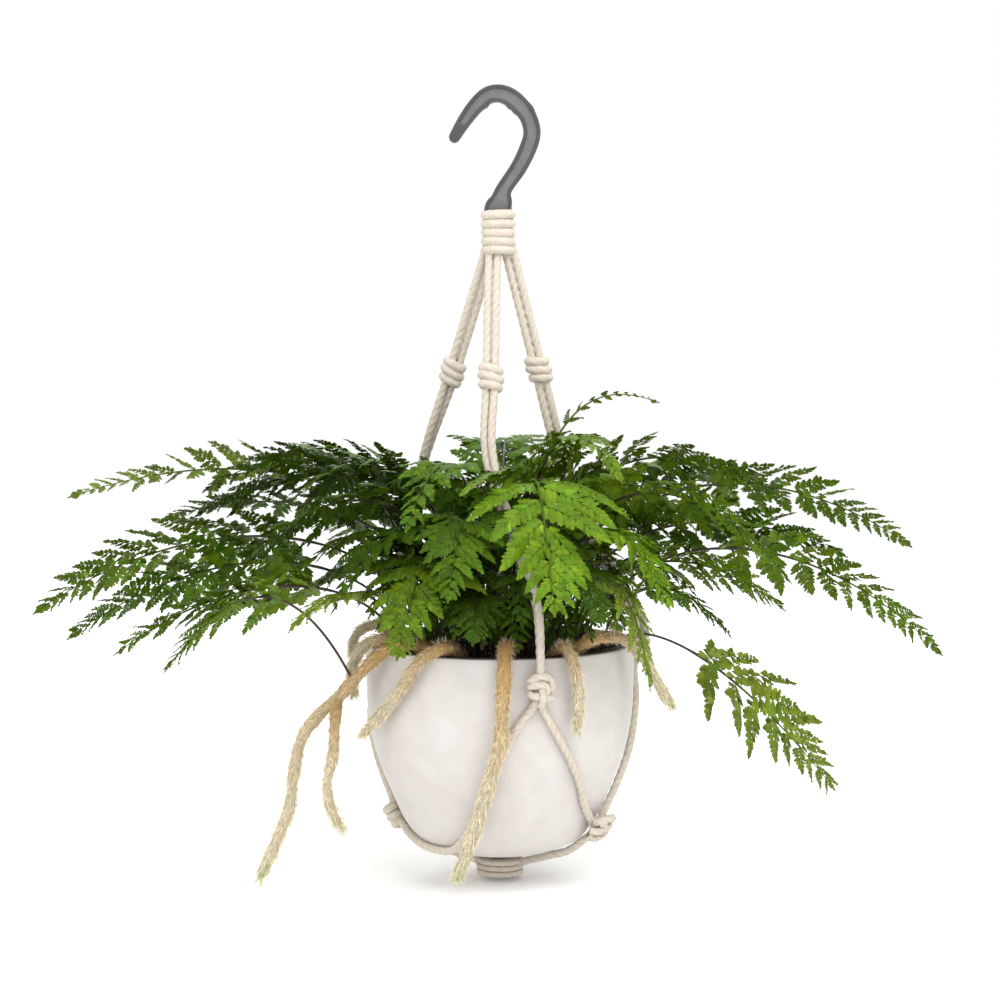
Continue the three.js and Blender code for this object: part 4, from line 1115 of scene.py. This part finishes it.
def hair_model():
    """A thin three-sided hair, one unit long, that points along Z."""
    deselect()
    bpy.ops.mesh.primitive_cone_add(vertices=3, radius1=0.55, radius2=0, depth=1, location=(0, 0, 0.5))
    bpy.ops.object.transform_apply(location=True, rotation=True, scale=True)
    return mesh_arrays(bpy.context.object)


class FERNPOT_OT_rhizomes(PieceOperator):
    """Grows the creeping rhizomes and covers them in hair-like scales."""

    bl_idname = "fernpot.rhizomes"
    bl_label = "Rhizomes"

    def make(self, sizes, plant, finish):
        scale = scale_model(), hair_model()
        for number, (name, rhizome) in enumerate(RHIZOMES.items()):
            draw = np.random.default_rng(300 + number)
            heap = Heap()
            self.stem(heap, rhizome["route"], rhizome["radius"], scale, plant, draw, 0)
            if "branch" in rhizome:
                self.stem(heap, rhizome["branch"], rhizome["radius"] * 0.85, scale, plant, draw, 0.3)
            points, faces, colours, parts = heap.arrays()
            piece = mesh_piece(f"furry_rhizome_{name}", to_metres(points), faces, colours, smooth_angle=60)
            hand_over(piece, finish["woolly_scales"], "rhizome", f"rhizome_{name}")

    def stem(self, heap, points, radius, scale, plant, draw, begin):
        c = bpy.context.scene.planter_colours
        path = route(points, 1.8)
        n = len(path)
        share = np.linspace(0, 1, n)
        radii = radius * (1 - 0.24 * share) * 1.06
        radii *= 1 + 0.1 * np.sin(share * n * 0.35) + draw.normal(0, 0.03, n)
        radii[-3:] *= [0.85, 0.6, 0.3]
        tube, faces = tube_arrays(path, radii, 10)
        base = self.fur(c, begin + share * (1 - begin))
        # Painted shade: the stem under the scales is darker than the scales, at 0.6 of their colour.
        shade = np.repeat(base, 10, axis=0) * 0.6
        heap.add(tube, faces, np.concatenate([shade, shade[:1], shade[-1:]]))
        length = n * 1.8
        count = int(length * plant.hairs_per_mm)
        along, side, up = carried_frames(path)
        where = draw.random(count) ** 0.92 * (n - 1)
        i = where.astype(int)
        w = (where - i)[:, None]
        j = np.minimum(i + 1, n - 1)
        middle = path[i] * (1 - w) + path[j] * w
        turn = draw.uniform(0, TAU, count)[:, None]
        out = np.cos(turn) * side[i] + np.sin(turn) * up[i]
        r = (radii[i] * (1 - w[:, 0]) + radii[j] * w[:, 0])[:, None]
        root = middle + out * r * 0.85
        # Scales lie towards the tip and stand off a little, some more than others
        stand = np.clip(draw.normal(0.4, 0.26, count), 0.06, 1.2)[:, None]
        around_stem = np.cross(along[i], out)
        lean = unit(along[i] + out * stand + around_stem * draw.normal(0, 0.22, (count, 1)))
        size = plant.hair_length / MM * draw.uniform(0.6, 1.25, count) * (0.85 + 0.35 * where / n)
        width = draw.uniform(0.26, 0.46, count)
        x = unit(out - (out * lean).sum(1, keepdims=True) * lean)
        y = np.cross(lean, x)
        turns = np.stack([x * width[:, None] * -1, y * width[:, None] * -1, lean * size[:, None]], 2)
        tone = self.fur(c, begin + (1 - begin) * where / n)
        tone = tone * draw.normal(0.95, 0.27, (count, 1)).clip(0.35, 1.5)
        pale = (draw.random(count) < 0.25 + 0.3 * where / n)[:, None]
        tone = np.where(pale, tone * 0.45 + np.array(c.fur_tip) * 0.62, tone)
        # Rusty and golden patches run along the stem
        drift = np.array([noise.noise(Vector(p * 0.045)) for p in middle])[:, None]
        patch = np.clip(0.5 + 1.6 * drift, 0, 1) * (1 - 0.75 * (where / n)[:, None])
        tone = tone * (1 - 0.45 * patch) + np.array(c.fur_root) * 0.55 * patch
        heap.stamp(scale[0], turns, root, np.clip(tone, 0, 1))
        # Longer pale hairs stand off between the scales
        few = slice(0, int(count * plant.long_hairs))
        lean = unit(along[i][few] * draw.uniform(0.5, 1.1, (few.stop, 1)) + out[few]
                    + around_stem[few] * draw.normal(0, 0.4, (few.stop, 1)))
        x = unit(out[few] - (out[few] * lean).sum(1, keepdims=True) * lean)
        long = plant.hair_length / MM * draw.uniform(0.55, 1.15, few.stop)
        thick = np.full(few.stop, 0.19)
        turns = np.stack([-x * thick[:, None], -np.cross(lean, x) * thick[:, None], lean * long[:, None]], 2)
        cream = np.array(c.fur_hair) * draw.uniform(0.8, 1.1, (few.stop, 1))
        heap.stamp(scale[1], turns, root[few], np.clip(cream, 0, 1))
        self.tuft(heap, path, side, up, radii, scale, plant, draw)

    @staticmethod
    def tuft(heap, path, side, up, radii, scale, plant, draw):
        """Stiff pale scales that stand up where a rhizome crosses the rim."""
        crest = int(path[:, 2].argmax())
        count = 30
        turn = draw.uniform(0, TAU, (count, 1))
        out = np.cos(turn) * side[crest] + np.sin(turn) * up[crest]
        lean = unit(out * 0.8 + np.array([0, 0, 0.9]) + draw.normal(0, 0.5, (count, 3)))
        x = unit(np.cross(lean, [0.3, 0.2, 0.1]))
        size = plant.hair_length / MM * draw.uniform(0.5, 1.3, count)
        turns = np.stack([x * 0.36, np.cross(lean, x) * 0.36, lean * size[:, None]], 2)
        near = path[np.clip(crest + draw.integers(-3, 4, count), 0, len(path) - 1)]
        cream = np.array(bpy.context.scene.planter_colours.fur_hair) * draw.uniform(0.7, 1.1, (count, 1))
        heap.stamp(scale[1], turns, near + out * radii[crest] * 0.7, np.clip(cream, 0, 1))

    @staticmethod
    def fur(c, share):
        """Colour along a rhizome from its root to its growing tip."""
        stops = [0, 0.3, 0.7, 0.92, 1]
        shades = np.array([c.fur_root, c.fur_middle, c.fur_tip, c.fur_tip, c.fur_growing])
        return np.array([np.interp(share, stops, shades[:, k]) for k in range(3)]).T


class Stalk:
    """The rib of a frond: a curve with a side and an upward normal all along it."""

    def __init__(self, f):
        az0 = f["az"] if f["az0"] is None else f["az0"]
        base = around(az0, f["r0"], soil_height(f["r0"]) if f["z0"] is None else f["z0"])
        crown = (f["peak"] - 0.125 * (base[2] + f["tip"])) / 0.75
        span = f["reach"] - f["r0"]
        near = around((az0 + f["az"]) / 2, f["r0"] + f["rise"] * span, crown)
        far = around(f["az"], f["r0"] + f["shoulder"] * span, crown)
        self.ends = np.array([base, near, far, around(f["az"], f["reach"], f["tip"])])
        self.knots = np.linspace(0, 1, 81)
        line = self.point(self.knots)
        self.run = np.concatenate([[0], np.cumsum(np.linalg.norm(np.diff(line, axis=0), axis=1))])
        self.length = self.run[-1]
        self.side = sideways(f["az"])
        self.roll = math.radians(f["roll"])
        self.frond = f

    def point(self, t):
        t = t[:, None]
        a, b, c, d = self.ends
        return a * (1 - t) ** 3 + 3 * b * t * (1 - t) ** 2 + 3 * c * t * t * (1 - t) + d * t ** 3

    def tangent(self, t):
        t = t[:, None]
        a, b, c, d = self.ends
        return unit((b - a) * (1 - t) ** 2 + 2 * (c - b) * t * (1 - t) + (d - c) * t * t)

    def place(self, flat):
        """Points of a flat frond, as distance along, distance aside and height, bent to the stalk."""
        d, t, h = flat[:, 0], flat[:, 1], flat[:, 2]
        share = np.clip(d / self.length, 0, 1)
        at = np.interp(share * self.length, self.run, self.knots)
        along = self.tangent(at)
        spot = self.point(at) + along * (d - share * self.length)[:, None]
        side = unit(self.side - (along @ self.side)[:, None] * along)
        normal = np.cross(along, side)
        s = np.clip((share - 0.1) / 0.4, 0, 1)
        roll = (self.roll * s * s * (3 - 2 * s))[:, None]
        side = side * np.cos(roll) + normal * np.sin(roll)
        normal = np.cross(along, side)
        f = self.frond
        aside = np.abs(t) / f["width"]
        lift = np.where(d < f["start"] * self.length - 1, 0,
                        f["width"] * (f["fold"] * aside - f["droop"] * aside ** 2))
        return spot + side * t[:, None] + normal * (h + lift)[:, None]


# Corners along one edge of a small leaflet, from its root to its tip: share of length, half width
PINNULE_EDGE = [(0, 0.02), (0.24, 0.24), (0.43, 0.36), (0.46, 0.21), (0.65, 0.3), (0.67, 0.16), (0.84, 0.17)]


SMALL_PINNULE_EDGE = [(0, 0.02), (0.2, 0.22), (0.44, 0.34), (0.5, 0.22), (0.74, 0.22)]
LEAST_PINNULE_EDGE = [(0, 0.03), (0.4, 0.33)]


def pinnule_model(rise, edge):
    """A toothed leaflet one unit long along X: a disc shaped to the outline, doubled and closed."""
    outline = [(x, -y) for x, y in edge] + [(1.0, 0.0)] + [(x, y) for x, y in reversed(edge)]
    deselect()
    bpy.ops.mesh.primitive_circle_add(vertices=len(outline), radius=1, fill_type="TRIFAN")
    piece = bpy.context.object
    ring = sorted((v for v in piece.data.vertices if v.co.length > 0.5),
                  key=lambda v: math.atan2(v.co.y, v.co.x))
    middle = next(v for v in piece.data.vertices if v.co.length < 0.5)
    for v, (x, y) in zip(ring, outline):
        v.co = (x, y, -0.35 * abs(y) - 0.1 * x * x)
    middle.co = (0.42, 0, rise)
    edit(piece)
    bpy.ops.mesh.duplicate()
    bpy.ops.mesh.flip_normals()
    bpy.ops.object.mode_set(mode="OBJECT")
    under = [v for v in piece.data.vertices if (v.co - Vector((0.42, 0, rise))).length < 1e-6][-1]
    under.co.z -= 0.05
    edit(piece)
    bpy.ops.mesh.remove_doubles(threshold=1e-5)
    bpy.ops.object.mode_set(mode="OBJECT")
    points, faces = mesh_arrays(piece)
    corners = points[faces]
    normals = np.cross(corners[:, 1] - corners[:, 0], corners[:, 2] - corners[:, 0])
    has_top = np.abs(points[:, 0] - 0.42) + np.abs(points[:, 1]) + np.abs(points[:, 2] - rise) < 1e-5
    top_faces = has_top[faces].any(axis=1)
    if normals[top_faces, 2].mean() < 0:
        faces = faces[:, ::-1]
    return points, faces


class FERNPOT_OT_fronds(PieceOperator):
    """Grows every frond: a wiry stalk, ribs and many small toothed leaflets."""

    bl_idname = "fernpot.fronds"
    bl_label = "Fronds"

    def make(self, sizes, plant, finish):
        pinnule = [pinnule_model(plant.blade_rise, edge) for edge in
                   (LEAST_PINNULE_EDGE, SMALL_PINNULE_EDGE, PINNULE_EDGE)]
        c = bpy.context.scene.planter_colours
        tones = {key: np.array(getattr(c, f"leaf_{key}")) for key in
                 ("dark", "deep", "mid", "light", "bright")}
        fronds = {name: {**FROND_DEFAULTS, **dict(zip(FROND_COLUMNS, row)), **(row[9] if len(row) > 9 else {})}
                  for name, row in FRONDS.items()}
        for number, (name, f) in enumerate(fronds.items()):
            if f["beside"]:
                continue
            draw = np.random.default_rng(700 + number)
            heap = Heap()
            young = [{**FROND_DEFAULTS, **dict(zip(FROND_COLUMNS, row)), "pairs": 8, "more": 0}
                     for near, row in YOUNG_FRONDS if near == name]
            for g in (f, *(g for g in fronds.values() if g["beside"] == name), *young):
                self.leaf(heap, Stalk(g), g, pinnule, plant, tones[g["tone"]], np.array(c.stalk), draw)
            points, faces, colours, parts = heap.arrays()
            piece = mesh_piece(f"leafy_frond_{name}", to_metres(points), faces, colours, parts, 55)
            piece.data.materials.append(finish["glossy_leaf"])
            piece.data.materials.append(finish["wiry_stalk"])
            hand_over(piece, None, f"leaf_{f['tone']}", f"frond_{name}")

    def leaf(self, heap, stalk, f, pinnule, plant, tone, stalk_colour, draw):
        start = (f["start"] - plant.lower_leaflets) * stalk.length
        blade = stalk.length - start
        pairs = f["pairs"] + f.get("more", plant.extra_pairs)
        step = 0.88
        pitches = blade * 0.95 * step ** np.arange(pairs) / (step ** np.arange(pairs)).sum()
        # The stalk
        run = np.concatenate([[-10 if f["z0"] is None else -4], np.linspace(0, stalk.length, 36)])
        share = np.clip((run - start) / blade, 0, 1)
        radii = np.where(run < start, 1.0 - 0.15 * np.clip(run / start, 0, 1), 0.85 * (1 - share) + 0.22)
        flat = np.stack([run, 0 * run, 0 * run], 1)
        split = int(np.argmax(run > start + 0.25 * blade))
        self.rib(heap, stalk, flat[:split + 1], radii[:split + 1], 6, stalk_colour, 1)
        self.rib(heap, stalk, flat[split:], radii[split:], 6, stalk_colour * 0.45 + tone * 0.5, 0)
        d = start
        for i in range(pairs):
            share = (d - start) / blade
            reach = f["width"] * (1 - share) ** 0.85 * min(1, 0.8 + 2.5 * share)
            for side in (-1, 1):
                lean = math.radians(64 + (40 - 64) * share + draw.normal(0, 2.5))
                self.pinna(heap, stalk, f, pinnule, d + pitches[i] * (0.5 + 0.12 * side),
                           reach * draw.uniform(0.92, 1.04), lean, side, pitches[i], share, tone,
                           stalk_colour, draw)
            d += pitches[i]
        self.tip(heap, stalk, pinnule, d, stalk.length - d, tone, draw)

    @staticmethod
    def rib(heap, stalk, flat, radii, sides, colour, part):
        """A thin round rib that is bent with the frond."""
        way = unit(np.gradient(flat, axis=0))
        across = np.stack([-way[:, 1], way[:, 0], 0 * way[:, 0]], 1)
        turn = np.arange(sides) * TAU / sides
        rings = (flat[:, None] + radii[:, None, None] * (
            np.cos(turn)[None, :, None] * across[:, None] + np.sin(turn)[None, :, None] * np.array([0, 0, 1])))
        points, faces = close_rings(rings)
        heap.add(stalk.place(points), faces, colour, part)

    def pinna(self, heap, stalk, f, pinnule, root, reach, lean, side, pitch, share, tone, stalk_colour, draw):
        """One side branch of the blade with its rows of leaflets."""
        if reach < 9:
            self.stamp(heap, stalk, pinnule, [(root, 0, reach * 1.05, side * lean, 0.9, 0, 0)], tone, draw)
            return
        curve = 0.12 * reach
        hang = draw.uniform(0.02, 0.09) * reach
        lift = draw.normal(0, 0.1)
        twist = draw.normal(0, 0.3)
        tone = tone * draw.uniform(0.82, 1.2)

        def at(s):
            out = np.asarray(s)
            x = root + reach * out * math.cos(lean) + curve * out ** 2 * math.sin(lean)
            y = side * (reach * out * math.sin(lean) - curve * out ** 2 * math.cos(lean))
            return x, y, lift * reach * out - hang * out ** 2

        s = np.linspace(0, 0.97, 5)
        self.rib(heap, stalk, np.stack(at(s), 1), 0.4 * (1 - 0.75 * s), 3,
                 stalk_colour * 0.25 + tone * 0.7, 0)
        longest = min(pitch * f.get("leaflet", 0.72), reach * 0.32, 13)
        gap = f.get("gap", 0.5)
        rows = []
        out = 0.05
        while out < 0.93:
            size = longest * (1 - out) ** 0.5 * (0.8 if out < 0.08 else 1)
            for edge in (-1, 1):
                x, y, z = at(out + 0.015 * edge)
                spread = math.radians(56 - 24 * out + draw.normal(0, 4))
                angle = side * lean + edge * spread
                big = 1.3 if edge * side > 0 and share < 0.15 and out < 0.4 else 1.0
                off = edge * spread
                rows.append((x, y, size * big * draw.uniform(0.9, 1.08), angle, z,
                             twist * math.sin(off) + lift * math.cos(off),
                             twist * math.cos(off) - lift * math.sin(off)))
            out += max(size * gap / reach, 0.035)
        x, y, z = at(0.92)
        rows.append((x, y, max(longest * 0.45, 3), side * lean * 0.96, z, lift, twist))
        self.stamp(heap, stalk, pinnule, rows, tone, draw)

    def tip(self, heap, stalk, pinnule, start, length, tone, draw):
        """The blade runs out in ever smaller leaflets."""
        rows = []
        for share in np.linspace(0, 0.8, 6):
            size = max(0.62 * length * (1 - share), 1.8)
            rows += [(start + length * share, 0, size, side * math.radians(40 - 16 * share), 0, 0, 0)
                     for side in (-1, 1)]
        rows.append((start + length * 0.72, 0, max(length * 0.28, 2), 0, 0, 0, 0))
        self.stamp(heap, stalk, pinnule, rows, tone, draw)

    @staticmethod
    def stamp(heap, stalk, pinnule, rows, tone, draw):
        """Copies the small leaflet to each row of place, length, direction and height."""
        x, y, size, angle, height, dip, tilt = np.array(rows, float).T
        n = len(rows)
        tilt = tilt + draw.normal(0, 0.22, n)
        dip = dip + draw.normal(-0.1, 0.12, n)
        c, s = np.cos(angle), np.sin(angle)
        forward = np.stack([c, s, dip], 1) * size[:, None]
        across = np.stack([-s, c, tilt], 1) * size[:, None]
        normal = np.stack([-c * dip, -s * dip, np.ones(n)], 1) * size[:, None]
        turns = np.stack([forward, across, normal], 2)
        places = np.stack([x, y, height + 0.15], 1)
        shade = draw.normal(1, 0.1, (n, 1)).clip(0.6, 1.5)
        warm = draw.normal(0, 0.07, n)
        tints = tone * shade * np.stack([1 + warm * 1.3, 1 + 0 * warm, 1 - warm], 1)
        # One leaflet in twenty is paler and bluer: partly a pale underside, partly a painted highlight of gloss.
        pale = draw.random((n, 1)) < 0.05
        tints = np.where(pale, tints * 1.35 + np.array([0.006, 0.01, 0.006]), tints).clip(0, 1)
        for model, chosen in zip(pinnule, (size < 3.4, (size >= 3.4) & (size < 5.6), size >= 5.6)):
            if chosen.any():
                flat = Heap()
                flat.stamp(model, turns[chosen], places[chosen], tints[chosen])
                points, faces, colours, _ = flat.arrays()
                heap.add(stalk.place(points), faces, colours, 0)


class FERNPOT_OT_stage(bpy.types.Operator):
    """Sets up the pale floor, the soft light and the camera."""

    bl_idname = "fernpot.stage"
    bl_label = "Floor, light and camera"
    bl_options = {"REGISTER", "UNDO"}

    def execute(self, context):
        scene = context.scene
        scene.view_settings.view_transform = "Standard"
        camera_data = bpy.data.cameras.new("camera")
        camera_data.lens = 81
        camera_data.sensor_width = 36
        camera = bpy.data.objects.new("camera", camera_data)
        camera.location = (0, -1.5, -0.153)
        camera.rotation_euler = (math.radians(90 - 4.2), 0, 0)
        scene.collection.objects.link(camera)
        scene.camera = camera
        world = bpy.data.worlds.new("studio")
        scene.world = world
        world.use_nodes = True
        world.node_tree.nodes["Background"].inputs["Color"].default_value = (1, 1, 1, 1)
        world.node_tree.nodes["Background"].inputs["Strength"].default_value = 1.0
        deselect()
        bpy.ops.mesh.primitive_plane_add(size=30, location=(0, 0, -0.5195))
        floor = bpy.context.object
        floor.name = "pale_floor"
        pale, shader = new_material("pale_floor", 0.9, 0.0)
        shader.inputs["Base Color"].default_value = (0.97, 0.97, 0.97, 1)
        shader.inputs["Emission Color"].default_value = (1, 1, 1, 1)
        shader.inputs["Emission Strength"].default_value = 0.05
        floor.data.materials.append(pale)
        for name, spot, size, power in (
                ("key", (0.7, -1.3, 1.6), 1.8, 36), ("fill", (-1.4, -1.2, 0.7), 1.4, 8),
                ("back", (0.2, 1.4, 1.2), 1.4, 14)):
            light_data = bpy.data.lights.new(name, "AREA")
            light_data.energy = power
            light_data.size = size
            light = bpy.data.objects.new(name, light_data)
            light.location = spot
            aim = Vector((0, 0, -0.3)) - Vector(spot)
            light.rotation_euler = aim.to_track_quat("-Z", "Y").to_euler()
            scene.collection.objects.link(light)
        return {"FINISHED"}


class FERNPOT_PT_panel(bpy.types.Panel):
    """Lists the jobs that make the planter."""

    bl_idname = "FERNPOT_PT_panel"
    bl_label = "Fern planter"
    bl_space_type = "VIEW_3D"
    bl_region_type = "UI"
    bl_category = "Fern planter"

    def draw(self, context):
        for job in JOBS:
            self.layout.operator(job.bl_idname)
        for group in (context.scene.planter_sizes, context.scene.plant_sizes,
                      context.scene.planter_colours):
            box = self.layout.box()
            for key in group.__annotations__:
                box.prop(group, key)


JOBS = (
    FERNPOT_OT_stage, FERNPOT_OT_pot, FERNPOT_OT_soil, FERNPOT_OT_hook, FERNPOT_OT_wrap,
    FERNPOT_OT_legs, FERNPOT_OT_net, FERNPOT_OT_rhizomes, FERNPOT_OT_fronds,
)
CLASSES = (PlanterSizes, PlantSizes, PlanterColours, *JOBS, FERNPOT_PT_panel)


def register():
    for cls in CLASSES:
        bpy.utils.register_class(cls)
    bpy.types.Scene.planter_sizes = PointerProperty(type=PlanterSizes)
    bpy.types.Scene.plant_sizes = PointerProperty(type=PlantSizes)
    bpy.types.Scene.planter_colours = PointerProperty(type=PlanterColours)


def unregister():
    del bpy.types.Scene.planter_sizes
    del bpy.types.Scene.plant_sizes
    del bpy.types.Scene.planter_colours
    for cls in reversed(CLASSES):
        bpy.utils.unregister_class(cls)


def main():
    register()
    bpy.ops.fernpot.stage()
    bpy.ops.fernpot.pot()
    bpy.ops.fernpot.soil()
    bpy.ops.fernpot.hook()
    bpy.ops.fernpot.wrap()
    bpy.ops.fernpot.legs()
    bpy.ops.fernpot.net()
    bpy.ops.fernpot.rhizomes()
    bpy.ops.fernpot.fronds()


if __name__ == "__main__":
    main()
